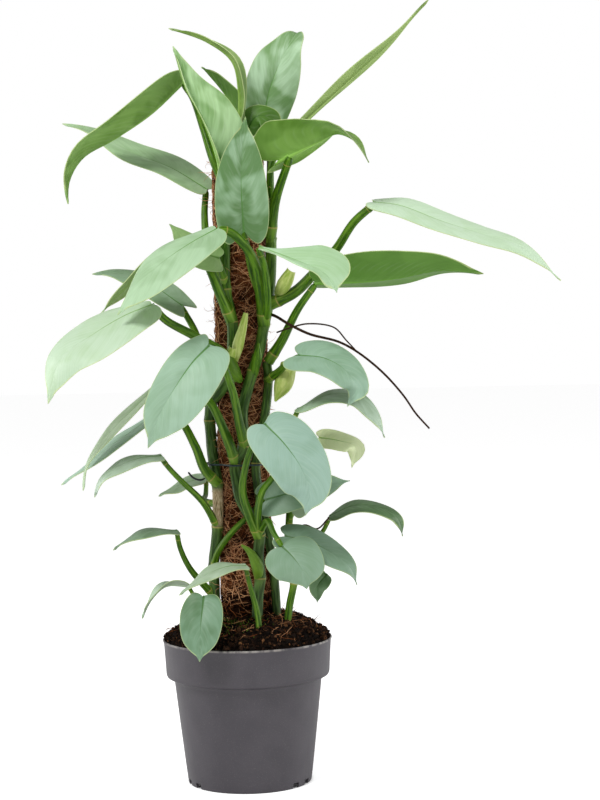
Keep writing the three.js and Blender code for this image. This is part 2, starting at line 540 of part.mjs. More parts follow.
// Papery sheaths and stubs at the nodes: a broad foot that runs out to a point.
const sheaths = [
  { on: "vine_left", points: [[-7, -34, 424], [-2, -42, 446], [4, -47, 470]], radii: [5, 6, 0.7] },
  { on: "vine_left", points: [[-13, -36, 404], [-12, -42, 416], [-12, -44, 432]], radii: [6, 6, 2] },
  { on: "vine_front", points: [[13, -33, 408], [16, -38, 430], [18, -40, 444]], radii: [5, 5, 0.7] },
  { on: "vine_front", points: [[36, -20, 486], [44, -34, 500], [53, -40, 513]], radii: [6, 6, 3] },
  { on: "vine_right", points: [[28, -24, 416], [38, -32, 408], [36, -40, 382]], radii: [4, 6, 0.7] },
  { on: "vine_front", points: [[18, -38, 206], [14, -38, 226], [2, -40, 238]], radii: [5, 5, 1] },
];

function knuckles(heights) {
  return (centre) => (heights.some((z) => Math.abs(z - centre.z) < NODE_LENGTH / 2) ? NODE_SWELL : 1);
}

// The hole that a stem stands in: a little wider than its foot, and a little deeper.
function boreOf(points, radius) {
  const [[x, y, z], ...rest] = points;
  const wide = radius + BORE_CLEARANCE;
  return sweep([[x, y, z - BORE_CLEARANCE], ...rest], [wide, wide], 7, 4);
}

function grow(name) {
  const stem = stems[name];
  const shoot = shoots[name];
  const pieces = [];
  const bores = [];
  if (stem) {
    const points = onPole(stem.climb, stem.radius);
    const knuckle = knuckles(stem.nodes);
    pieces.push(sweep(points, [stem.radius, stem.radius], 7, 28, { knuckle }));
    bores.push(boreOf(onPole(stem.climb.slice(0, 4), stem.radius), stem.radius));
  }
  if (shoot) {
    pieces.push(sweep(shoot.path, [shoot.radius, shoot.radius * 0.8], 6, 12));
    bores.push(boreOf(shoot.path.slice(0, 4), shoot.radius));
  }
  const borne = leaves.filter((leaf) => leaf.on === name);
  for (const leaf of borne) pieces.push(stalkOf(leaf).petiole);
  if (!stem && !shoot) {
    const [leaf] = borne;
    bores.push(boreOf(leaf.stalk.slice(0, 3), leaf.thick * STALK_TAPER[0]));
  }
  for (const { on, points, radii } of sheaths) if (on === name) pieces.push(sweep(points, radii, 5, 4));
  for (const own of [upperRoot, lowerRoot]) if (own.on === name) pieces.push(rootOf(own, 1).foot);
  return { solid: join(pieces), bores };
}

// Tie: a loop of coated wire round the pole and the stems on it, as [degrees, radius], and its loose end.
const loop = [[-13, 41], [6, 38], [22, 39], [38, 34], [60, 29], [95, 28.6], [130, 28.6], [165, 28.6],
  [200, 28.6], [232, 29], [262, 35], [278, 40], [294, 40], [306, 39], [320, 34], [336, 37]];
const tail = [[-36.8, -15.6, 321], [-38, -14, 314], [-38, -14, 308], [-43, -16, 305.5], [-50, -18, 308],
  [-55, -20, 314]];

function makeTie() {
  const ring = loop.map(([degrees, reach]) => {
    const turn = THREE.MathUtils.degToRad(degrees);
    return new THREE.Vector3(reach * Math.sin(turn), -reach * Math.cos(turn), WIRE_HEIGHT);
  });
  const curve = new THREE.CatmullRomCurve3(ring, true, "centripetal");
  const steps = 30;
  const sides = 4;
  const positions = [];
  const triangles = [];
  for (let i = 0; i < steps; i++) {
    const centre = curve.getPointAt(i / steps);
    const along = curve.getTangentAt(i / steps);
    const out = new THREE.Vector3(along.y, -along.x, 0).normalize();
    for (let k = 0; k < sides; k++) {
      const turn = (2 * Math.PI * k) / sides;
      const rim = centre.clone().addScaledVector(out, WIRE_RADIUS * Math.cos(turn));
      rim.z += WIRE_RADIUS * Math.sin(turn);
      positions.push(...rim.toArray());
      const [a, b] = [i * sides + k, i * sides + ((k + 1) % sides)];
      const [c, d] = [((i + 1) % steps) * sides + k, ((i + 1) % steps) * sides + ((k + 1) % sides)];
      triangles.push(a, d, b, a, c, d);
    }
  }
  return solidOf(positions, triangles).add(sweep(tail, [WIRE_RADIUS, WIRE_RADIUS], 4, 9));
}

// Aerial roots reach out into the air and end free.
const rootFork = [114, -48, 431];
const longRoot = [[26, -20, 470], [35, -29, 467], [48, -40, 459], [68, -42, 449], [96, -42, 441], rootFork,
  [138, -54, 411], [158, -56, 388], [170, -56, 370], [183, -56, 355]];
const rootBranch = [[36, -31, 451], [48, -41, 455], [66, -40, 459], [92, -40, 455], [104, -45, 442], rootFork];
const lowRoot = [[44, -26, 256], [50, -34, 256], [60, -38, 261], [72, -38, 257], [84, -38, 268]];
const upperRoot = { on: "vine_front", points: longRoot, radii: [1.6, 1.1, 0.8] };
const lowerRoot = { on: "shoot_right", points: lowRoot, radii: [1, 0.9, 0.8] };

// An aerial root in two pieces of one curve: its green foot, and the bare root beyond the gap.
function rootOf({ points, radii }, steps) {
  const length = new THREE.CatmullRomCurve3(points.map(vector), false, "centripetal").getLength();
  const foot = sweep(points, radii, 5, 2, { to: ROOT_NUB / length });
  return { foot, bare: sweep(points, radii, 5, steps, { from: (ROOT_NUB + GAP) / length }) };
}

const root = new THREE.Group();
const plants = ["vine_left", "vine_front", "vine_right", "shoot_right", "stalk_front", "stalk_left", "stalk_rim"];
const bores = [cylinder(SLEEVE_RADIUS + 0.6, POLE_BOTTOM - GAP, MOUND_HEIGHT + 10, 24)];
for (const name of plants) {
  const plant = grow(name);
  bores.push(...plant.bores);
  root.add(meshOf(name, plant.solid, greenStem));
}
for (const leaf of leaves) {
  const blade = makeBlade(leaf).add(stalkOf(leaf).stub);
  const material = leaf.pale ? paleLeaf : leaf.dark ? darkLeaf : silverLeaf;
  root.add(meshOf(leaf.name, blade, material));
}
root.add(meshOf("pot", makePot(), potPlastic));
root.add(meshOf("potting_soil", makeSoil(bores), peat));
root.add(meshOf("coir_sleeve", makeSleeve(), coir));
root.add(meshOf("pole_stake", cylinder(STAKE_RADIUS, POLE_BOTTOM, STAKE_TOP, 12), bareWood));
root.add(meshOf("tie_wire", makeTie(), coatedWire));
const forked = rootOf(upperRoot, 20).bare.add(sweep(rootBranch, [0.8, 0.8], 4, 10));
root.add(meshOf("aerial_root_right", forked, rootBark));
root.add(meshOf("aerial_root_low", rootOf(lowerRoot, 7).bare, rootBark));

export default root;
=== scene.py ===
"""Looks of a silver queen philodendron that climbs a coir pole in a nursery pot.

Sizes are in millimetres, and are turned into metres where a mesh is made. In metres from the start are the
distances for welding vertices, the numbers of finishes and lamps, and the studio's floor and reach.
The leaf, stem and root routes are the construction's own, walked here in finer steps.
"""

import logging
import math
from collections.abc import Sequence
from dataclasses import dataclass
from enum import Enum

import bpy
import numpy as np
from mathutils import Matrix, Vector


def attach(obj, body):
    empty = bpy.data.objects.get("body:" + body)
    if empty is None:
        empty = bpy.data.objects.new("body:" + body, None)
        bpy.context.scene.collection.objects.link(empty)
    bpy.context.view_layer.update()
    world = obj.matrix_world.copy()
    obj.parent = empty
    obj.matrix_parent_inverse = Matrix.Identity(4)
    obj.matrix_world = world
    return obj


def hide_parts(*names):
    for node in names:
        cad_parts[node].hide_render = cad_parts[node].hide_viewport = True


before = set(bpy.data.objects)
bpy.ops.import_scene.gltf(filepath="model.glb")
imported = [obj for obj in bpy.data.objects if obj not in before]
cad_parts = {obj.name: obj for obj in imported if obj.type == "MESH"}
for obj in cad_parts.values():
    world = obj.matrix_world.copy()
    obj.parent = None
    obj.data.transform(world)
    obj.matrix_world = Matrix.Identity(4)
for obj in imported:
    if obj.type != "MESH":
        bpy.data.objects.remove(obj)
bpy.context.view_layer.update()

MM = 0.001
TAU = 2 * math.pi
BODY = "root"
POT_HEIGHT = 145
RIM_RADIUS = 85
FOOT_RADIUS = 62
POT_WALL = 1.8
COLLAR_HEIGHT = 37
CHANNEL_HEIGHT = 6
MOUND_HEIGHT = 170
SLEEVE_TOP = 628
STAKE_TOP = 632
STAKE_RADIUS = 12
SLEEVE_RADIUS = 25.6
CLIMB_RADIUS = 26.7
STUB_LENGTH = 9
STUB_OVERLAP = 0.7
WIRE_RADIUS = 0.9
WIRE_HEIGHT = 321
FINE_WELD = 2e-6
POT_WELD = 1e-5
LEAF_WELD = 2e-5

Array = np.ndarray
Chance = np.random.Generator
Material = bpy.types.Material
Outputs = bpy.types.bpy_prop_collection
Piece = bpy.types.Object
Socket = bpy.types.NodeSocket
Point = tuple[float, ...]
Route = Sequence[Point]
Step = tuple[str, dict[str, object]]
logger = logging.getLogger("plant")


# Curves
class Spline:
    """A smooth curve through points (centripetal Catmull-Rom), walked by share of its length."""

    SAMPLES = 60
    NUDGE = 1e-4

    def __init__(self, points: Route, closed: bool = False) -> None:
        """Lays the curve and measures it.

        Args:
            points: the points that it passes through.
            closed: whether it runs on from its last point to its first.
        """
        knots = np.array(points, float)
        if closed:
            knots = np.vstack([knots[-1], knots, knots[0], knots[1]])
        else:
            knots = np.vstack([2 * knots[0] - knots[1], knots, 2 * knots[-1] - knots[-2]])
        self.knots = knots
        self.spans = len(knots) - 3
        self.table = np.linspace(0, 1, self.SAMPLES * self.spans + 1)
        steps = np.linalg.norm(np.diff(self.point(self.table), axis=0), axis=1)
        self.reach = np.concatenate([[0], np.cumsum(steps)])
        self.length = float(self.reach[-1])

    def point(self, t: Array) -> Array:
        """Places on the curve at even shares of its spans.

        Args:
            t: shares from 0 to 1.

        Returns:
            One row for each share.
        """
        place = np.clip(np.asarray(t, float), 0, 1) * self.spans
        span = np.minimum(place.astype(int), self.spans - 1)
        s = (place - span)[:, None]
        p0, p1, p2, p3 = (self.knots[span + k] for k in range(4))
        gaps = [np.maximum(np.linalg.norm(b - a, axis=1) ** 0.5, self.NUDGE)[:, None]
                for a, b in ((p0, p1), (p1, p2), (p2, p3))]
        start = ((p1 - p0) / gaps[0] - (p2 - p0) / (gaps[0] + gaps[1]) + (p2 - p1) / gaps[1]) * gaps[1]
        end = ((p2 - p1) / gaps[1] - (p3 - p1) / (gaps[1] + gaps[2]) + (p3 - p2) / gaps[2]) * gaps[1]
        return (p1 + start * s + (3 * (p2 - p1) - 2 * start - end) * s**2
                + (2 * (p1 - p2) + start + end) * s**3)

    def walk(self, u: Array) -> tuple[Array, Array]:
        """Places and unit tangents at shares of the curve's length.

        Args:
            u: shares from 0 to 1.

        Returns:
            The places and the tangents, one row for each share.
        """
        t = np.interp(np.clip(u, 0, 1) * self.length, self.reach, self.table)
        tangent = self.point(np.minimum(t + self.NUDGE, 1)) - self.point(np.maximum(t - self.NUDGE, 0))
        return self.point(t), tangent / np.linalg.norm(tangent, axis=1)[:, None]


def unit(rows: Array) -> Array:
    """Rows scaled to length one."""
    return rows / np.maximum(np.linalg.norm(rows, axis=-1, keepdims=True), 1e-12)


def across(rows: Array, along: Array) -> Array:
    """The part of each row that is square to a unit direction, at length one."""
    return unit(rows - np.sum(rows * along, axis=-1, keepdims=True) * along)


def carried(start: Array, along: Array) -> Array:
    """A direction carried down a run of tangents without twist.

    Args:
        start: the direction at the first tangent.
        along: unit tangents.

    Returns:
        One direction for each tangent, square to it.
    """
    rows = np.empty_like(along)
    now = np.asarray(start, float)
    for i, tangent in enumerate(along):
        now = now - now.dot(tangent) * tangent
        now = now / max(np.linalg.norm(now), 1e-9)
        rows[i] = now
    return rows


def bell(x: Array, width: float) -> Array:
    """A bump of height one round zero, with that half width."""
    return np.exp(-((np.asarray(x, float) / width) ** 2))


# Modelling by operators
CAPS: Step = ("fill_holes", {"sides": 0})
OUTWARD: Step = ("normals_make_consistent", {"inside": False})


def weld(metres: float) -> Step:
    """The step that merges vertices closer than that."""
    return "remove_doubles", {"threshold": metres}


def deselect() -> None:
    """Leaves nothing selected."""
    if bpy.context.object and bpy.context.object.mode != "OBJECT":
        bpy.ops.object.mode_set(mode="OBJECT")
    bpy.ops.object.select_all(action="DESELECT")


def pick(*pieces: Piece) -> Piece:
    """Selects pieces alone and makes the first one active.

    Args:
        pieces: the objects to select.

    Returns:
        The first of them.
    """
    deselect()
    for piece in pieces:
        piece.select_set(True)
    bpy.context.view_layer.objects.active = pieces[0]
    return pieces[0]


def edit(piece: Piece, *steps: Step) -> None:
    """Runs mesh operators on the whole of a piece.

    Args:
        piece: the object to work on.
        steps: names of bpy.ops.mesh operators, each with its settings.
    """
    pick(piece)
    bpy.ops.object.mode_set(mode="EDIT")
    bpy.ops.mesh.select_all(action="SELECT")
    for name, settings in steps:
        getattr(bpy.ops.mesh, name)(**settings)
    bpy.ops.object.mode_set(mode="OBJECT")


def modified(piece: Piece, kind: str, **settings: object) -> Piece:
    """Adds a modifier to a piece and applies it.

    Args:
        piece: the object to change.
        kind: the modifier's type.
        settings: its properties.

    Returns:
        The same piece.
    """
    pick(piece)
    modifier = piece.modifiers.new(kind.title(), kind)
    for name, value in settings.items():
        setattr(modifier, name, value)
    bpy.ops.object.modifier_apply(modifier=modifier.name)
    return piece


def joined(name: str, pieces: list[Piece]) -> Piece:
    """Joins pieces into one object.

    Args:
        name: the name that it gets.
        pieces: what goes into it.

    Returns:
        The joined piece.
    """
    whole = pick(*pieces)
    if len(pieces) > 1:
        bpy.ops.object.join()
    whole.name = whole.data.name = name
    return whole


def net(name: str, rows: int, columns: int) -> tuple[Piece, Array, Array]:
    """A flat primitive grid, ready to be shaped.

    Args:
        name: the object's name.
        rows: faces from start to end.
        columns: faces from side to side.

    Returns:
        The object, and for each vertex its share from 0 to 1 along and from -1 to 1 across.
    """
    deselect()
    bpy.ops.mesh.primitive_grid_add(x_subdivisions=rows, y_subdivisions=columns, size=2)
    piece = bpy.context.object
    piece.name = piece.data.name = name
    places = vertices(piece)
    return piece, (places[:, 0] + 1) / 2, places[:, 1]


def vertices(piece: Piece) -> Array:
    """A piece's vertex places.

    Args:
        piece: the object.

    Returns:
        One row for each vertex.
    """
    flat = np.empty(len(piece.data.vertices) * 3, np.float32)
    piece.data.vertices.foreach_get("co", flat)
    return flat.reshape(-1, 3).astype(float)


def place(piece: Piece, millimetres: Array) -> None:
    """Puts a piece's vertices where they belong, given in millimetres."""
    piece.data.vertices.foreach_set("co", (np.asarray(millimetres) * MM).astype(np.float32).ravel())
    piece.data.update()


def note(piece: Piece, **values: Array | float) -> None:
    """Writes numbers or directions on a piece's vertices for its material to read.

    Args:
        piece: the object.
        values: attribute names with one number, or one row of three, for each vertex.
    """
    count = len(piece.data.vertices)
    for name, value in values.items():
        rows = np.asarray(value, np.float32)
        if rows.ndim == 0:
            rows = np.full(count, rows, np.float32)
        kind, key = ("FLOAT_VECTOR", "vector") if rows.ndim == 2 else ("FLOAT", "value")
        attribute = piece.data.attributes.get(name) or piece.data.attributes.new(name, kind, "POINT")
        attribute.data.foreach_set(key, np.ascontiguousarray(rows).ravel())


def from_faces(name: str, places: Array, faces: Array) -> Piece:
    """A piece from vertex places in millimetres and faces of one size, for what repeats in hundreds.

    Args:
        name: the object's name.
        places: one row for each vertex.
        faces: one row of vertex numbers for each face.

    Returns:
        The new object.
    """
    mesh = bpy.data.meshes.new(name)
    mesh.from_pydata((np.asarray(places) * MM).tolist(), [], np.asarray(faces).tolist())
    piece = bpy.data.objects.new(name, mesh)
    bpy.context.scene.collection.objects.link(piece)
    return piece


def smooth(piece: Piece, degrees: float = 50) -> Piece:
    """Shades a piece smooth.

    Args:
        piece: the object.
        degrees: the least angle of the edges that stay sharp.

    Returns:
        The same piece.
    """
    pick(piece)
    bpy.ops.object.shade_smooth_by_angle(angle=math.radians(degrees))
    return piece


def dress(piece: Piece, slot: str, materials: list[Material], *nodes: str) -> None:
    """Gives a finished piece its materials and its body, and hides the construction's nodes that it stands
    for.

    Args:
        piece: the finished object.
        slot: the name of a material slot; not used.
        materials: its materials in the order of its material slots.
        nodes: the construction's nodes that it replaces.
    """
    while len(piece.data.materials) > len(materials):
        piece.data.materials.pop()
    for i, material in enumerate(materials):
        if i < len(piece.data.materials):
            piece.data.materials[i] = material
        else:
            piece.data.materials.append(material)
    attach(piece, BODY)
    if nodes:
        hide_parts(*nodes)
    logger.info("%s: %d faces", piece.name, len(piece.data.polygons))


@dataclass(frozen=True)
class Tube:
    """A round tube along a route, with places for rings, a channel and wings.

    Attributes:
        radii: radii spread evenly from its start to its end.
        pitch: length of a step.
        start, end: shares of the route at which it starts and ends.
        up: the direction of its channel at its end, or None for a plain round tube.
        rings: distances of node rings from the route's start.
        ring_size, channel: height of a ring and depth of the channel, as shares of the radius.
        glow: how pale the skin is just below a ring, from 0 to 1.
    """

    route: Route
    radii: list[float]
    sides: int = 14
    pitch: float = 4
    start: float = 0
    end: float = 1
    up: Point | None = None
    rings: tuple[float, ...] = ()
    ring_size: float = 0.12
    channel: float = 0.16
    glow: float = 0.4
    rounded: bool = False

    LEAST_STEPS = 3
    RING_STEPS = (-1.1, -0.5, 0, 0.5, 1.1)
    RING_WIDTH = 2.6
    SCAR_WIDTH = 0.55
    GLOW_LENGTH = 8
    CHANNEL_WIDTH = 0.55
    CHANNEL_FADE = 1.15
    WING_ANGLE = 0.85
    WING_WIDTH = 0.2
    SKIN_SCALE = 0.02

    def steps(self, curve: Spline) -> Array:
        """Shares of the route at which the tube has a row of vertices, with more of them beside each ring.

        Args:
            curve: the route as a curve.

        Returns:
            The shares, in order.
        """
        span = (self.end - self.start) * curve.length
        even = np.linspace(self.start, self.end, max(int(span / self.pitch), self.LEAST_STEPS) + 1)
        beside = [(ring + step) / curve.length for ring in self.rings for step in self.RING_STEPS]
        return np.sort([*even, *(share for share in beside if self.start < share < self.end)])

    def tops(self, along: Array) -> Array:
        """The direction of the channel at each row, carried from the end that decides it.

        Args:
            along: unit tangents of the route.

        Returns:
            One direction for each row.
        """
        if self.up is not None:
            return carried(np.array(self.up, float), along[::-1])[::-1]
        first = (1, 0, 0) if abs(along[0][2]) > 0.9 else (0, 0, 1)
        return carried(np.array(first, float), along)

    def build(self, name: str) -> Piece:
        """Models the tube from a rolled-up grid.

        Args:
            name: the object's name.

        Returns:
            A closed mesh with the attributes mark, bright, wing and skin.
        """
        curve = Spline(self.route)
        steps = self.steps(curve)
        rows = len(steps) - 1
        piece, share, turn = net(name, rows, self.sides)
        centre, along = curve.walk(steps)
        top = self.tops(along)
        side = np.cross(along, top)
        row = np.rint(share * rows).astype(int)
        angle = turn * math.pi
        reach = steps * curve.length
        radius = np.interp(steps, np.linspace(0, 1, len(self.radii)), self.radii)
        mark, bright = np.zeros(rows + 1), np.zeros(rows + 1)
        for ring in self.rings:
            radius = radius * (1 + self.ring_size * bell(reach - ring, self.RING_WIDTH))
            mark = np.maximum(mark, bell(reach - ring, self.SCAR_WIDTH))
            below = np.where(reach < ring, bell(reach - ring, self.GLOW_LENGTH), 0)
            bright = np.maximum(bright, self.glow * below)
        if self.rounded:
            last = np.clip((reach - reach[-1]) / radius[-1] + 1, 0, 0.97)
            radius = radius * np.sqrt(1 - last**2)
        wing = np.zeros(len(share))
        local = radius[row]
        if self.up is not None:
            hold = np.clip(self.CHANNEL_FADE - steps[row], 0, 1)
            wing = bell(np.abs(angle) - self.WING_ANGLE, self.WING_WIDTH) * hold
            sunk = self.channel * bell(angle, self.CHANNEL_WIDTH) * hold
            local = local * (1 - sunk + 0.5 * self.channel * wing)
        rim = (np.cos(angle) * local)[:, None] * top[row] + (np.sin(angle) * local)[:, None] * side[row]
        place(piece, centre[row] + rim)
        skin = np.column_stack([np.cos(angle), np.sin(angle), reach[row] * self.SKIN_SCALE])
        note(piece, mark=mark[row], bright=bright[row], wing=wing, skin=skin)
        edit(piece, weld(FINE_WELD), CAPS, OUTWARD)
        return piece


# Finishes
Colour = tuple[float, float, float]
BLACK = (0.0, 0.0, 0.0)
WHITE = (1.0, 1.0, 1.0)


def srgb(red: int, green: int, blue: int) -> Colour:
    """A colour as a screen shows it, turned into light."""
    shares = (part / 255 for part in (red, green, blue))
    return tuple(((share + 0.055) / 1.055) ** 2.4 if share > 0.04 else share / 12.92 for share in shares)


class Graph:
    """A short way to add and join nodes."""

    def __init__(self, tree: bpy.types.NodeTree) -> None:
        """Starts on a node tree."""
        self.tree = tree

    def add(self, kind: str, settings: dict | None = None, **inputs: object) -> bpy.types.Node:
        """Adds a node, with its inputs set or joined.

        Args:
            kind: the node's type, without its ShaderNode prefix.
            settings: properties of the node.
            inputs: input names, with _ for a blank, and what each gets: a socket or a value.

        Returns:
            The node.
        """
        node = self.tree.nodes.new("ShaderNode" + kind)
        for key, value in (settings or {}).items():
            setattr(node, key, value)
        for key, value in inputs.items():
            self.feed(node.inputs[key.replace("_", " ")], value)
        return node

    def feed(self, socket: Socket, value: object) -> None:
        """Joins a socket to an input, or sets the input to a value.

        Args:
            socket: the input.
            value: the other socket, or the value.
        """
        if isinstance(value, Socket):
            self.tree.links.new(value, socket)
        elif isinstance(value, tuple) and len(value) == 3 and socket.type == "RGBA":
            socket.default_value = (*value, 1)
        else:
            socket.default_value = value

    def math(self, operation: str, *numbers: object, clamp: bool = False) -> Socket:
        """A sum on numbers.

        Args:
            operation: its kind.
            numbers: one, two or three numbers.
            clamp: whether the result is held between 0 and 1.

        Returns:
            The result's socket.
        """
        node = self.add("Math", {"operation": operation, "use_clamp": clamp})
        for socket, number in zip(node.inputs, numbers):
            self.feed(socket, number)
        return node.outputs[0]

    def plus(self, a: object, b: object, clamp: bool = False) -> Socket:
        """The sum of two numbers, held between 0 and 1 where clamp says so."""
        return self.math("ADD", a, b, clamp=clamp)

    def minus(self, a: object, b: object) -> Socket:
        """The first number less the second."""
        return self.math("SUBTRACT", a, b)

    def times(self, a: object, b: object) -> Socket:
        """The product of two numbers."""
        return self.math("MULTIPLY", a, b)

    def scaled(self, value: object, factor: float, start: float) -> Socket:
        """A number times a factor, on top of a start value."""
        return self.math("MULTIPLY_ADD", value, factor, start)

    def mix(self, share: object, a: object, b: object, how: str = "MIX") -> Socket:
        """A blend of two colours.

        Args:
            share: how much of the second there is.
            a: the first colour.
            b: the second colour.
            how: the way they blend.

        Returns:
            The blended colour's socket.
        """
        node = self.add("Mix", {"data_type": "RGBA", "blend_type": how, "clamp_factor": True})
        for place, value in ((0, share), (6, a), (7, b)):
            self.feed(node.inputs[place], value)
        return node.outputs[2]

    def tinted(self, colour: object, by: Colour) -> Socket:
        """A colour multiplied by another."""
        return self.mix(1.0, colour, by, "MULTIPLY")

    def ramp(self, value: object, low: float, high: float) -> Socket:
        """A number that runs smoothly from 0 at low to 1 at high."""
        limits = {"From_Min": low, "From_Max": high}
        return self.add("MapRange", {"interpolation_type": "SMOOTHSTEP"}, Value=value, **limits).outputs[0]

    def noise(self, where: object, scale: float, detail: float = 3, stretch: float = 0) -> Socket:
        """Cloudy noise from 0 to 1, with so many lumps to a unit, finer layers, and that distortion."""
        node = self.add("TexNoise", None, Vector=where, Scale=scale, Detail=detail, Distortion=stretch)
        return node.outputs["Fac"]

    def attribute(self, name: str, vector: bool = False) -> Socket:
        """An attribute of the mesh, as a number or a direction."""
        node = self.add("Attribute", {"attribute_name": name})
        return node.outputs["Vector" if vector else "Fac"]

    def spot(self) -> Socket:
        """The place on the object, in metres."""
        return self.add("TexCoord").outputs["Object"]

    def split(self, vector: object) -> Outputs:
        """The three parts of a vector."""
        return self.add("SeparateXYZ", None, Vector=vector).outputs

    def flat(self, x: object, y: object) -> Socket:
        """A vector from two numbers, with no third part."""
        return self.add("CombineXYZ", None, X=x, Y=y).outputs[0]

    def group(self, name: str, **inputs: object) -> Outputs:
        """Places a shared node group.

        Args:
            name: the group's name.
            inputs: input names and what each gets.

        Returns:
            Its outputs.
        """
        node = self.tree.nodes.new("ShaderNodeGroup")
        node.node_tree = bpy.data.node_groups[name]
        for key, value in inputs.items():
            self.feed(node.inputs[key], value)
        return node.outputs

    def mottle(self, coarse: float, fine: float, where: object = None) -> Outputs:
        """The shared cloud and grain, with so many lumps to a metre of the object or of another place."""
        where = self.spot() if where is None else where
        return self.group(Mottle.NAME, Where=where, Coarse=coarse, Fine=fine)


def shared_group(name: str, inputs: dict[str, object], outputs: tuple[str, ...]) -> tuple[Graph, dict, dict]:
    """Starts a shader node group.

    Args:
        name: the group's name.
        inputs: input names with a start value: a number, or three of them for a vector.
        outputs: output names, a number each.

    Returns:
        Its graph, its input sockets and its output sockets by name.
    """
    tree = bpy.data.node_groups.new(name, "ShaderNodeTree")
    for key, value in inputs.items():
        kind = "NodeSocketVector" if isinstance(value, tuple) else "NodeSocketFloat"
        socket = tree.interface.new_socket(name=key, in_out="INPUT", socket_type=kind)
        socket.default_value = value
    for key in outputs:
        tree.interface.new_socket(name=key, in_out="OUTPUT", socket_type="NodeSocketFloat")
    given = tree.nodes.new("NodeGroupInput")
    result = tree.nodes.new("NodeGroupOutput")
    return Graph(tree), {k: given.outputs[k] for k in inputs}, {k: result.inputs[k] for k in outputs}


@dataclass(frozen=True)
class Mottle:
    """The shared node group for cloudy patches and fine grain."""

    cloud_detail: float = 4.0
    grain_detail: float = 2.0

    NAME = "Mottle"

    def build(self) -> None:
        """Makes the group."""
        start = {"Where": (0.0, 0.0, 0.0), "Coarse": 40.0, "Fine": 600.0}
        graph, given, result = shared_group(self.NAME, start, ("Cloud", "Grain"))
        layers = (("Cloud", "Coarse", self.cloud_detail), ("Grain", "Fine", self.grain_detail))
        for output, scale, detail in layers:
            node = graph.add("TexNoise", None, Vector=given["Where"], Scale=given[scale], Detail=detail)
            graph.feed(result[output], node.outputs["Fac"])


@dataclass(frozen=True)
class LeafVeins:
    """The shared node group that draws a leaf's veins from the places noted on its blade.

    Attributes:
        slant: how far a side vein leans towards the tip for each millimetre from the midrib.
        wander: how far the side veins stray from an even rhythm.
        narrowness: how thin a side vein is beside the gap to the next one.
    """

    slant: float = 0.0085
    wander: float = 0.05
    narrowness: float = 5.0
    thread_pitch: float = 40.0
    streak_pitch: float = 7.0
    rib_half: float = 0.95
    rib_taper: float = 1.15
    margin_width: float = 0.75

    NAME = "Leaf veins"

    def build(self) -> None:
        """Makes the group."""
        start = {"Run": 0.0, "Along": 0.0, "Spread": 0.0, "Reach": 0.0, "Edge": 5.0, "Veins": 14.0}
        graph, given, result = shared_group(self.NAME, start, ("Lateral", "Fine", "Streak", "Rib", "Margin"))
        spread, reach = given["Spread"], given["Reach"]
        drift = graph.noise(graph.flat(given["Run"], spread), 1.8, 1)
        swept = graph.minus(given["Along"], graph.times(reach, self.slant))
        along = graph.plus(swept, graph.times(drift, self.wander))
        phase = graph.times(along, graph.times(given["Veins"], TAU))
        wave = graph.scaled(graph.math("COSINE", phase), 0.5, 0.5)
        lateral = graph.times(graph.math("POWER", wave, self.narrowness), graph.ramp(drift, 0.35, 0.65))
        inside = graph.ramp(graph.math("ABSOLUTE", spread), 1.0, 0.4)
        graph.feed(result["Lateral"], graph.times(lateral, inside))
        threads = graph.noise(graph.flat(graph.times(along, self.thread_pitch), spread), 1.6, 2)
        graph.feed(result["Fine"], graph.ramp(threads, 0.42, 0.62))
        streaks = graph.noise(graph.flat(graph.times(along, self.streak_pitch), spread), 1.6, 2)
        graph.feed(result["Streak"], graph.ramp(streaks, 0.3, 0.7))
        narrow = graph.math("MAXIMUM", graph.scaled(given["Run"], -self.rib_taper, self.rib_half), 0.02)
        line = graph.ramp(graph.math("DIVIDE", reach, narrow), 1.9, 0.8)
        graph.feed(result["Rib"], graph.times(line, graph.ramp(given["Run"], 0.85, 0.45)))
        rim = graph.ramp(given["Edge"], self.margin_width, 0.2)
        graph.feed(result["Margin"], graph.times(rim, graph.ramp(reach, 2.0, 5.0)))


class Surface(Graph):
    """A material in the making, with the shader that its graph ends in."""

    def __init__(self, name: str) -> None:
        """Starts a material.

        Args:
            name: the material's name.
        """
        self.material = bpy.data.materials.new(name)
        self.material.use_nodes = True
        super().__init__(self.material.node_tree)
        self.shader = self.material.node_tree.nodes["Principled BSDF"]

    def relief(self, height: Socket, strength: float, depth: float) -> None:
        """Turns a height into bumps.

        Args:
            height: the height's socket, from 0 to 1.
            strength: how much of it shows.
            depth: the height of a bump, in metres.
        """
        bump = self.add("Bump", None, Strength=strength, Distance=depth, Height=height)
        self.feed(self.shader.inputs["Normal"], bump.outputs[0])

    def finished(self, colour: object, rough: object, gloss: float = 0.5) -> Material:
        """Gives the shader what it shows.

        Args:
            colour: its colour.
            rough: its roughness.
            gloss: the strength of its reflections.

        Returns:
            The material.
        """
        self.feed(self.shader.inputs["Base Color"], colour)
        self.feed(self.shader.inputs["Roughness"], rough)
        self.shader.inputs["Specular IOR Level"].default_value = gloss
        return self.material


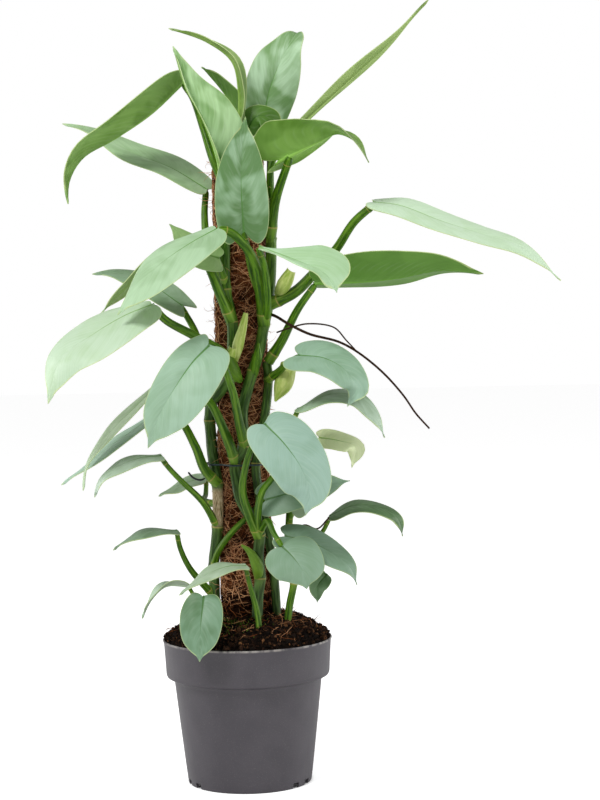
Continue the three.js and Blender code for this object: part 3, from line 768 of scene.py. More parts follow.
@dataclass(frozen=True)
class LeafFinish:
    """The skin of a leaf: silvery bloom over green, with lateral veins, a rib and a thin margin.

    Attributes:
        tint: the attribute with the colour of the bloom.
        green: what the bloom's colour is multiplied by where the green shows through.
        rib: what it is multiplied by along the midrib.
        bump: the height of its veins, in metres.
    """

    name: str
    tint: str
    green: Colour
    rib: Colour
    margin: Colour
    roughness: float = 0.46
    vein_strength: float = 0.2
    thread_strength: float = 0.22
    gloss: float = 0.36
    bump: float = 0.0003

    def covered(self, made: Surface, streak: object) -> Socket:
        """How far the bloom hides the green, patchy and streaky most of all where there is little of it.
        The patches are partly the bloom's own mottling and partly painted sheen and shade from the blade's
        waves.

        Args:
            made: the material in the making.
            streak: the socket of the broad streaks.

        Returns:
            The share that it hides, from 0 to 1.
        """
        # light and dark patches: partly the leaf's own mottling, partly painted sheen and shade
        patchy_bloom_and_sheen = made.minus(made.ramp(made.noise(made.spot(), 34.0, 1, 0.4), 0.4, 0.6), 0.5)
        streaky = made.times(made.minus(streak, 0.5), 0.7)
        bloom = made.attribute("bloom")
        unrest = made.scaled(bloom, -1.2, 1.3)
        return made.plus(bloom, made.times(made.plus(patchy_bloom_and_sheen, streaky), unrest), clamp=True)

    def build(self) -> Material:
        """Makes the material.

        Returns:
            The material.
        """
        made = Surface(self.name)
        run, spread, side = made.split(made.attribute("skin", True))
        reach = made.math("ABSOLUTE", side)
        edge, along = made.attribute("edge"), made.attribute("along")
        veins = made.group(LeafVeins.NAME, Run=run, Along=along, Spread=spread, Reach=reach, Edge=edge)
        base = made.attribute(self.tint, True)
        colour = made.mix(self.covered(made, veins["Streak"]), made.tinted(base, self.green), base)
        pale = made.mix(0.3, colour, (0.9, 1.0, 0.85))
        dark = made.tinted(colour, (0.74, 0.82, 0.68))
        colour = made.mix(made.times(veins["Lateral"], self.vein_strength), colour, pale)
        colour = made.mix(made.times(veins["Fine"], self.thread_strength), colour, dark)
        colour = made.mix(veins["Rib"], colour, made.tinted(base, self.rib))
        colour = made.mix(made.times(veins["Margin"], 0.7), colour, self.margin)
        colour = made.mix(made.times(made.ramp(run, 0.95, 1.0), 0.6), colour, self.margin)
        rough = made.scaled(made.mottle(32.0, 900.0)["Cloud"], 0.16, self.roughness - 0.08)
        height = made.plus(made.times(veins["Lateral"], 0.8), made.times(veins["Fine"], 0.15))
        made.relief(height, 0.4, self.bump)
        return made.finished(colour, rough, self.gloss)


@dataclass(frozen=True)
class StemFinish:
    """Green stem skin, with pale wings along its channel, rings at the nodes and greyer skin low down.

    Attributes:
        ring: the scar at a node.
        old, old_deep: weathered skin near the soil, and its streaks.
        old_from, old_fade: the height in metres below which it is weathered, and how far that fades.
        dry_deep, dry_pale: papery skin, its streaks and the rest.
    """

    name: str
    green: Colour
    deep: Colour
    pale: Colour
    ring: Colour
    old: Colour
    old_deep: Colour
    old_from: float = 0.0
    old_fade: float = 0.09
    dry_deep: Colour = srgb(146, 118, 84)
    dry_pale: Colour = srgb(206, 188, 152)
    roughness: float = 0.22
    gloss: float = 0.2
    bump: float = 0.0003

    def build(self) -> Material:
        """Makes the material.

        Returns:
            The material.
        """
        made = Surface(self.name)
        spot = made.spot()
        skin = made.attribute("skin", True)
        streak = made.noise(skin, 2.6, 4, 0.3)
        fine = made.noise(skin, 14.0, 3, 0.2)
        cloud = made.noise(spot, 42.0, 3)
        colour = made.mix(made.ramp(streak, 0.38, 0.62), self.deep, self.green)
        colour = made.mix(made.times(made.ramp(fine, 0.55, 0.75), 0.3), colour, self.pale)
        colour = made.mix(made.times(made.ramp(cloud, 0.48, 0.7), 0.45), colour, self.deep)
        drift = made.plus(made.split(spot)[2], made.times(cloud, 0.12))
        low = made.ramp(drift, self.old_from + self.old_fade, self.old_from)
        aged = made.plus(low, made.attribute("age"), clamp=True)
        weathered = made.mix(made.ramp(streak, 0.4, 0.62), self.old_deep, self.old)
        colour = made.mix(aged, colour, weathered)
        marks = (("bright", 0.8, self.pale), ("wing", 0.5, self.pale), ("mark", 0.85, self.ring))
        for mark, share, shade in marks:
            colour = made.mix(made.times(made.attribute(mark), share), colour, shade)
        papery = made.mix(made.ramp(fine, 0.4, 0.6), self.dry_deep, self.dry_pale)
        dried = made.times(made.attribute("dry"), made.ramp(streak, 0.3, 0.42))
        colour = made.mix(dried, colour, papery)
        made.relief(made.plus(fine, streak), 0.35, self.bump)
        return made.finished(colour, made.scaled(streak, 0.3, self.roughness), self.gloss)


@dataclass(frozen=True)
class MatterFinish:
    """Dry matter whose pieces differ in tone: soil, coir, moss, bark and wood.

    Attributes:
        coarse: patches to a metre.
        fine: grains to a metre.
    """

    name: str
    dark: Colour
    middle: Colour
    light: Colour
    roughness: float = 0.9
    coarse: float = 120.0
    fine: float = 900.0
    depth: float = 0.0008
    gloss: float = 0.12

    def build(self) -> Material:
        """Makes the material.

        Returns:
            The material.
        """
        made = Surface(self.name)
        mottle = made.mottle(self.coarse, self.fine)
        tone = made.plus(made.times(mottle["Cloud"], 0.6), made.attribute("tone"))
        tone = made.minus(tone, made.attribute("stain"))
        colour = made.mix(made.ramp(tone, 0.3, 0.75), self.dark, self.middle)
        colour = made.mix(made.ramp(tone, 0.8, 1.25), colour, self.light)
        made.relief(made.plus(mottle["Grain"], mottle["Cloud"]), 0.7, self.depth)
        return made.finished(colour, made.scaled(mottle["Grain"], 0.2, self.roughness - 0.1), self.gloss)


@dataclass(frozen=True)
class PotFinish:
    """Warm grey recycled plastic, moulded, with a faint draw down the wall and a scuffed rim.

    Attributes:
        lip_from, lip_to: heights in metres at which the rubbed lip starts and is rubbed most.
    """

    name: str = "pot_plastic"
    grey: Colour = srgb(77, 73, 79)
    worn: Colour = srgb(168, 162, 156)
    lip_from: float = 0.1424
    lip_to: float = 0.1438
    roughness: float = 0.36
    bump: float = 0.00025

    def build(self) -> Material:
        """Makes the material.

        Returns:
            The material.
        """
        made = Surface(self.name)
        spot = made.spot()
        mottle = made.mottle(35.0, 1500.0, spot)
        drawn = made.add("Mapping", None, Vector=spot, Scale=(1.0, 1.0, 0.06))
        streak = made.noise(drawn.outputs[0], 160.0, 3)
        shade = made.tinted(self.grey, (0.86, 0.86, 0.87))
        colour = made.mix(made.ramp(mottle["Cloud"], 0.35, 0.7), shade, self.grey)
        speck = made.ramp(mottle["Grain"], 0.62, 0.72)
        colour = made.mix(made.times(speck, 0.18), colour, self.worn)
        lip = made.ramp(made.split(spot)[2], self.lip_from, self.lip_to)
        rubbed = made.times(lip, made.ramp(streak, 0.3, 0.7))
        colour = made.mix(made.times(rubbed, 0.85), colour, self.worn)
        grain = made.plus(made.times(streak, 0.6), made.times(mottle["Grain"], 0.4))
        made.relief(grain, 0.35, self.bump)
        return made.finished(colour, made.scaled(streak, 0.14, self.roughness))


@dataclass(frozen=True)
class WireFinish:
    """Dark blue-green coating on the tie wire, a little scuffed, and darker on its loose end."""

    name: str = "coated_wire"
    colour: Colour = srgb(30, 50, 58)
    scuff: Colour = srgb(56, 84, 88)
    end: Colour = srgb(16, 20, 20)
    roughness: float = 0.25
    bump: float = 0.0001

    def build(self) -> Material:
        """Makes the material.

        Returns:
            The material.
        """
        made = Surface(self.name)
        mottle = made.mottle(180.0, 1600.0)
        scuffed = made.mix(made.ramp(mottle["Grain"], 0.55, 0.75), self.colour, self.scuff)
        colour = made.mix(made.attribute("tone"), scuffed, self.end)
        made.relief(mottle["Grain"], 0.2, self.bump)
        return made.finished(colour, made.scaled(mottle["Cloud"], 0.2, self.roughness))


LEAF_FINISHES = {
    "SILVER": LeafFinish("silver_leaf", "tint", (0.4, 0.52, 0.3), (0.33, 0.52, 0.2), srgb(196, 214, 150)),
    "PALE": LeafFinish("pale_leaf", "tint", (0.66, 0.78, 0.5), (0.46, 0.62, 0.3), srgb(214, 228, 160),
                       0.45, 0.3),
    "DARK": LeafFinish("dark_leaf", "tint", (0.56, 0.66, 0.46), (0.4, 0.55, 0.28), srgb(168, 188, 132),
                       0.42, 0.1),
}
UNDERSIDES = {
    "SILVER": LeafFinish("silver_leaf_underside", "under", (0.5, 0.6, 0.32), (1.25, 1.25, 1.2),
                         srgb(196, 212, 140), 0.5, 0.12, 0.05),
    "PALE": LeafFinish("pale_leaf_underside", "under", (0.8, 0.84, 0.62), (1.3, 1.3, 1.2),
                       srgb(214, 222, 170), 0.5, 0.12, 0.05),
    "DARK": LeafFinish("dark_leaf_underside", "under", (0.7, 0.76, 0.5), (1.25, 1.25, 1.2),
                       srgb(150, 176, 112), 0.5, 0.1, 0.05),
}
GREEN_STEM = StemFinish("green_stem", green=srgb(92, 136, 22), deep=srgb(46, 86, 6), pale=srgb(158, 192, 84),
                        ring=srgb(190, 172, 96), old=srgb(80, 108, 60), old_deep=srgb(42, 64, 28),
                        old_from=0.16)
PALE_SHEATH = StemFinish("papery_sheath", green=srgb(204, 216, 130), deep=srgb(160, 186, 78),
                         pale=srgb(228, 230, 176), ring=srgb(206, 196, 140), old=srgb(160, 180, 100),
                         old_deep=srgb(150, 170, 90))
PEAT = MatterFinish("peat", srgb(12, 7, 4), srgb(42, 25, 15), srgb(128, 88, 56), 0.95, 150.0, 1100.0, 0.0015)
COIR = MatterFinish("coir", srgb(36, 16, 6), srgb(128, 72, 38), srgb(214, 160, 118),
                    0.95, 60.0, 1500.0, 0.0003)
MOSS = MatterFinish("moss", srgb(24, 38, 8), srgb(58, 82, 20), srgb(112, 134, 50))
BARK = MatterFinish("root_bark", srgb(38, 24, 16), srgb(78, 52, 34), srgb(128, 92, 64),
                    0.75, 300.0, 2000.0, 0.0003)
WOOD = MatterFinish("bare_wood", srgb(132, 100, 62), srgb(176, 138, 92), srgb(206, 172, 124),
                    0.75, 90.0, 900.0, 0.0005)


# Plant
class Outline(Enum):
    """Half outlines of a blade as (share of its length, share of its half width)."""

    HEART = ((0, 0), (-0.09, 0.3), (-0.12, 0.6), (-0.03, 0.88), (0.14, 1),
             (0.38, 0.97), (0.62, 0.75), (0.8, 0.42), (0.92, 0.11), (1, 0))
    ARROW = ((0, 0), (-0.2, 0.1), (-0.3, 0.34), (-0.28, 0.64), (-0.16, 0.88), (0, 1),
             (0.2, 0.92), (0.45, 0.8), (0.7, 0.54), (0.88, 0.16), (1, 0))
    OVAL = ((0, 0), (-0.06, 0.3), (-0.05, 0.6), (0.08, 0.87), (0.28, 1),
            (0.5, 0.97), (0.7, 0.8), (0.84, 0.46), (0.93, 0.13), (1, 0))
    LANCE = ((0, 0), (-0.03, 0.3), (0, 0.62), (0.12, 0.9), (0.3, 1),
             (0.5, 0.92), (0.68, 0.7), (0.84, 0.35), (0.94, 0.09), (1, 0))
    KITE = ((0, 0), (0.08, 0.1), (0.25, 0.3), (0.45, 0.66), (0.62, 0.94),
            (0.76, 1), (0.88, 0.72), (0.94, 0.3), (0.97, 0.1), (1, 0))
    SPOON = ((0, 0), (-0.02, 0.28), (0.03, 0.6), (0.14, 0.86), (0.32, 1),
             (0.52, 0.97), (0.7, 0.8), (0.84, 0.46), (0.93, 0.13), (1, 0))


class Tone(Enum):
    """How silvery or dark a leaf is, with the name of its material slot."""

    SILVER = "silver_leaf"
    PALE = "pale_leaf"
    DARK = "dark_leaf"


@dataclass(frozen=True)
class Leaf:
    """One leaf: a blade bent along its midrib, and the petiole that carries it.

    Attributes:
        grows_from: the node of the stem that bears it.
        width: half width of the blade.
        face, tip_face: where the blade's upper side looks, at its base and at its tip.
        rib, stalk: the routes of the midrib and the petiole.
        fold, cup: degrees by which each half rises from the midrib, and rolls on towards the margin.
        left, right: shares of the width on each half.
        thick: radius of the petiole's top.
        tint: the colour of its bloom, as a screen shows it.
        under: the colour of its underside, or None for the tint in its darker, yellower form.
        bloom: how much of the green the bloom covers, from 0 to 1.
    """

    node: str
    grows_from: str
    outline: Outline
    width: float
    face: Point
    rib: Route
    stalk: Route
    tone: Tone = Tone.SILVER
    tip_face: Point | None = None
    fold: float = 10
    cup: float = -20
    left: float = 1
    right: float = 1
    thick: float = 3
    tint: tuple[int, int, int] = (165, 195, 172)
    under: tuple[int, int, int] | None = None
    bloom: float = 0.8

    ROWS = 46
    COLUMNS = 11
    ROW_SPREAD = 1.15
    COLUMN_SPREAD = 1.5
    MEAN_THICK = 3
    THICKNESS = 0.7
    KEEL = 1.7
    KEEL_WIDTH = 1.5
    KEEL_TAPER = 0.7
    LEAST_KEEL = 0.02
    LOBE_CURVE = 1.6
    RIPPLES = 5
    RIPPLE_SHIFT = 0.6
    QUILT_HEIGHT = 0.14
    QUILTS = 13
    QUILT_SLANT = 0.2
    QUILT_FULL_WIDTH = 30
    GROOVE_DEPTH = 0.45
    GROOVE_WIDTH = 0.9
    JOINT_RADII = (1.72, 1.28, 1.03)
    JOINT_RING = 0.05
    UNDERSIDE_SHADE = (0.85, 0.9, 0.66)
    ALONG_UNIT = 100

    def petiole_route(self) -> Route:
        """The petiole's route, up to the middle of its joint with the blade."""
        face = unit(np.array(self.face, float))
        return [*self.stalk, tuple(np.array(self.rib[0]) - 0.5 * self.thick * face)]

    def surface(self, t: Array, spread: Array) -> tuple[Array, Array, Array]:
        """Places on the blade's upper side.

        Args:
            t: shares of the way to the tip.
            spread: shares of the way from the midrib to the margin, below 0 on the left half.

        Returns:
            The places, each one's distance from the midrib, and its distance from the margin, in millimetres.
        """
        rib = Spline(self.rib)
        margin = Spline([(*p, 0) for p in self.outline.value]).point(t)
        w = np.abs(spread)
        a = t**self.LOBE_CURVE * (1 - w) + margin[:, 0] * w
        half = np.where(spread < 0, self.left, self.right)
        c = margin[:, 1] * w * self.width * half
        u = np.clip(a, 0, 1)
        centre, along = rib.walk(u)
        centre = centre + along * (np.minimum(a, 0) * rib.length)[:, None]
        start, end = (unit(np.array(f, float)) for f in (self.face, self.tip_face or self.face))
        up = across(start + (end - start) * u[:, None], along)
        out = np.cross(along, up) * np.sign(spread)[:, None]
        lift = np.radians(self.fold + self.cup * w / 2)
        ripple = w * w * np.sin(math.pi * (self.RIPPLES * t + np.where(spread < 0, self.RIPPLE_SHIFT, 0)))
        quilt = self.QUILT_HEIGHT * np.sin(TAU * self.QUILTS * (t - self.QUILT_SLANT * w)) * w * (1 - w)
        quilt = quilt * np.clip(self.width / self.QUILT_FULL_WIDTH, 0.3, 1)
        groove = self.GROOVE_DEPTH * bell(c, self.GROOVE_WIDTH) * (1 - t)
        rise = c * np.sin(lift) + ripple + quilt - groove
        edge = margin[:, 1] * (1 - w) * self.width * half
        return centre + out * (c * np.cos(lift))[:, None] + up * rise[:, None], c, edge

    def blade(self, materials: list[Material]) -> Piece:
        """Models the blade from a grid and gives it its thickness and its keel.

        Args:
            materials: those of the upper side, the underside and the joint.

        Returns:
            The blade.
        """
        blade, t, turn = net(self.node + "_blade", self.ROWS, 2 * self.COLUMNS)
        t = t**self.ROW_SPREAD
        spread = -np.sign(turn) * np.abs(turn) ** self.COLUMN_SPREAD
        places, reach, edge = self.surface(t, spread)
        place(blade, places)
        along = t * Spline(self.rib).length / self.ALONG_UNIT
        note(blade, skin=np.column_stack([t, spread, reach]), along=along, edge=edge)
        for finish in materials:
            blade.data.materials.append(finish)
        keel = blade.vertex_groups.new(name="keel")
        depth = bell(reach, self.KEEL_WIDTH * self.thick / self.MEAN_THICK) * (1 - t) ** self.KEEL_TAPER
        for i, weight in enumerate(depth):
            if weight > self.LEAST_KEEL:
                keel.add([i], float(weight), "REPLACE")
        edit(blade, weld(LEAF_WELD))
        whole = self.THICKNESS + self.KEEL * self.thick / self.MEAN_THICK
        return modified(blade, "SOLIDIFY", thickness=whole * MM, offset=-1, use_even_offset=False,
                        use_quality_normals=True, vertex_group="keel",
                        thickness_vertex_group=self.THICKNESS / whole, material_offset=1)

    def joint(self) -> Piece:
        """Models the thickened top of the petiole, under the blade.

        Returns:
            The joint.
        """
        route = self.petiole_route()
        length = Spline(route).length
        radii = [r * self.thick for r in self.JOINT_RADII]
        joint = Tube(route, radii, pitch=1.5, start=1 - STUB_LENGTH / length, up=self.face,
                     rings=(length - STUB_LENGTH,), ring_size=self.JOINT_RING, rounded=True)
        return joint.build(self.node + "_joint")

    def build(self, materials: list[Material]) -> Piece:
        """Models the blade with the joint under it, and notes its colours.

        Args:
            materials: those of the upper side, the underside and the joint.

        Returns:
            The leaf.
        """
        blade, stub = self.blade(materials), self.joint()
        stub.data.materials.append(materials[2])
        leaf = joined(self.node + "_leaf", [blade, stub])
        under = self.under or tuple(int(c * f) for c, f in zip(self.tint, self.UNDERSIDE_SHADE))
        for name, colour in (("tint", self.tint), ("under", under)):
            note(leaf, **{name: np.tile(srgb(*colour), (len(leaf.data.vertices), 1))})
        note(leaf, bloom=self.bloom)
        return smooth(leaf)


@dataclass
class Foliage:
    """All the leaves, with one finish for each tone and side."""

    stem: Material
    leaves: list[Leaf]

    def build(self) -> None:
        """Models and dresses every leaf."""
        sides = {tone: [kind[tone.name].build() for kind in (LEAF_FINISHES, UNDERSIDES)] for tone in Tone}
        for leaf in self.leaves:
            finishes = [*sides[leaf.tone], self.stem]
            dress(leaf.build(finishes), leaf.tone.value, finishes, leaf.node)


@dataclass(frozen=True)
class Climber:
    """A stem that climbs the pole.

    Attributes:
        climb: (degrees round the pole from the front, height, distance off the sleeve) for each point.
        dry: lowest and highest of the skin that has turned papery.
    """

    node: str
    radius: float
    climb: list[Point]
    rings: tuple[float, ...]
    dry: tuple[float, float] = (0, 0)

    SIDES = 22
    PITCH = 1.8
    GLOW = 0.15
    WALK_STEPS = 800
    YOUNG_HEIGHT = 560
    AGING_HEIGHT = 260
    AGES = (0.25, 0.85)
    DRY_FADE = 5

    def route(self) -> Route:
        """The stem's route round the pole.

        Returns:
            Its points.
        """
        polar = Spline([(*mark, 0)[:3] for mark in self.climb])
        marks = polar.point(np.linspace(0, 1, 3 * len(self.climb) + 1))
        turn = np.radians(marks[:, 0])
        reach = CLIMB_RADIUS + self.radius + marks[:, 2]
        return list(map(tuple, np.column_stack([reach * np.sin(turn), -reach * np.cos(turn), marks[:, 1]])))

    def build(self) -> Piece:
        """Models the stem, with its ring at each node.

        Returns:
            The stem, with the attributes age and dry.
        """
        route = self.route()
        curve = Spline(route)
        walk = np.linspace(0, 1, self.WALK_STEPS)
        heights = curve.walk(walk)[0][:, 2]
        rings = tuple(float(np.interp(z, heights, walk * curve.length)) for z in self.rings)
        tube = Tube(route, [self.radius, self.radius], self.SIDES, self.PITCH, rings=rings, glow=self.GLOW)
        stem = tube.build(self.node + "_stem")
        z = vertices(stem)[:, 2] / MM
        low, high = self.dry
        age = np.clip((self.YOUNG_HEIGHT - z) / self.AGING_HEIGHT, *self.AGES)
        note(stem, age=age, dry=np.clip(np.minimum(z - low, high - z) / self.DRY_FADE, 0, 1))
        return stem


@dataclass(frozen=True)
class Sheath:
    """A sheath at a node: a pointed boat round the young shoot.

    Attributes:
        radii: its half width along its route.
        pale: how pale a green one is, from 0 to 1.
        look: where its open side looks.
    """

    route: Route
    radii: list[float]
    papery: bool = True
    pale: float = 0
    look: Point = (0.25, 1, 0)

    ROWS = 22
    COLUMNS = 10
    FOOT_CURL = 165
    CURL_LOST = 85
    WALL = 0.5

    def build(self, name: str) -> Piece:
        """Models the sheath from a curled grid with a thin wall.

        Args:
            name: the object's name.

        Returns:
            The sheath.
        """
        curve = Spline(self.route)
        piece, share, turn = net(name, self.ROWS, self.COLUMNS)
        row = np.rint(share * self.ROWS).astype(int)
        steps = np.linspace(0, 1, self.ROWS + 1)
        centre, along = curve.walk(steps)
        top = across(np.tile(np.array(self.look, float), (self.ROWS + 1, 1)), along)
        side = np.cross(along, top)
        radius = Spline([(r, 0, 0) for r in self.radii]).point(steps)[:, 0]
        curl = np.radians(self.FOOT_CURL - self.CURL_LOST * steps)
        angle = turn * curl[row] + math.pi
        upward = (np.cos(angle) * radius[row])[:, None] * top[row]
        sideways = (np.sin(angle) * radius[row])[:, None] * side[row]
        place(piece, centre[row] + (upward + sideways))
        skin = np.column_stack([turn, angle * 0.2, share])
        note(piece, bright=self.pale, wing=np.abs(turn) ** 8, skin=skin)
        modified(piece, "SOLIDIFY", thickness=self.WALL * MM, offset=0)
        return smooth(piece, 80)


@dataclass(frozen=True)
class Root:
    """An aerial root: a green foot on the stem that bears it, the bare rest, and a branch where it forks."""

    node: str
    grows_from: str
    route: Route
    radii: list[float]
    branch: Route | None = None

    BRANCH_RADII = [0.8, 0.8, 0.7]
    TONE = 0.15

    def foot(self) -> Piece:
        """Models the green foot that belongs to the stem."""
        share = STUB_LENGTH / Spline(self.route).length
        return Tube(self.route, self.radii, 10, 1.5, end=share).build(self.grows_from + "_root_foot")

    def bare(self) -> Piece:
        """Models the bare root beyond its foot, with its branch.

        Returns:
            The bare root.
        """
        share = STUB_LENGTH / Spline(self.route).length
        parts = [Tube(self.route, self.radii, 8, 2, start=share).build(self.grows_from + "_root")]
        if self.branch:
            parts.append(Tube(self.branch, self.BRANCH_RADII, 8, 2).build(self.grows_from + "_root_branch"))
        return joined("aerial_root_" + self.grows_from, parts)


@dataclass
class Plant:
    """Stems, petioles, sheaths and roots, a piece for each stem, and a rootlet across the pole."""

    leaves: list[Leaf]
    climbers: list[Climber]
    sheaths: list[Sheath]
    roots: list[Root]
    stem: Material
    papery: Material
    bark: Material
    shoot_route: tuple[Point, ...] = ((40, -22, 128), (40, -22, 150), (43, -24, 178), (48, -28, 203),
                                      (49, -28, 228), (43, -28, 246), (44, -26, 262), (45, -24, 276))
    shoot_radii: tuple[float, ...] = (4, 3.2)
    shoot_rings: tuple[float, ...] = (75, 101, 128)
    petiole_radii: tuple[float, ...] = (1.7, 1.25, 1)
    rootlet_route: tuple[Point, ...] = ((-7, -29, 402), (-5, -31.5, 402), (3, -32.5, 396), (14, -31, 390),
                                        (15, -28, 389))
    rootlet_radii: tuple[float, ...] = (0.9, 0.8, 0.6)

    def petioles(self, node: str) -> list[Piece]:
        """The petioles that grow from a stem.

        Args:
            node: the stem's node.

        Returns:
            Their pieces.
        """
        made = []
        for leaf in (leaf for leaf in self.leaves if leaf.grows_from == node):
            route = leaf.petiole_route()
            length = Spline(route).length
            radii = [r * leaf.thick for r in self.petiole_radii]
            tube = Tube(route, radii, 22, 2.2, end=1 - (STUB_LENGTH - STUB_OVERLAP) / length, up=leaf.face,
                        rings=(2.2 * leaf.thick + 3,), ring_size=0.08)
            made.append(tube.build(leaf.node + "_petiole"))
        return made

    def stems(self) -> dict[str, list[Piece]]:
        """The stems by node, with none for the leaf stalks that rise from the soil by themselves.

        Returns:
            The pieces of each node's stem.
        """
        made = {climber.node: [climber.build()] for climber in self.climbers}
        shoot = Tube(self.shoot_route, self.shoot_radii, 16, 2.5, rings=self.shoot_rings)
        made["shoot_right"] = [shoot.build("shoot_stem")]
        return made | {"stalk_front": [], "stalk_left": [], "stalk_rim": []}

    def build(self) -> None:
        """Models and dresses every stem with what grows on it."""
        for node, parts in self.stems().items():
            roots = [root for root in self.roots if root.grows_from == node]
            feet = [root.foot() for root in roots]
            bare = [root.bare() for root in roots]
            piece = smooth(joined(node + "_green", [*parts, *self.petioles(node), *feet]))
            dress(piece, "green_stem", [self.stem], node)
            for root, piece in zip(roots, bare):
                note(piece, tone=root.TONE)
                dress(smooth(piece), "root_bark", [self.bark], root.node)
        for i, sheath in enumerate(self.sheaths):
            finish = self.papery if sheath.papery else self.stem
            dress(sheath.build(f"sheath_{i + 1}"), "green_stem", [finish])
        rootlet = Tube(self.rootlet_route, self.rootlet_radii, 8, 2).build("rootlet")
        note(rootlet, tone=0.7)
        dress(smooth(rootlet), "root_bark", [self.bark])


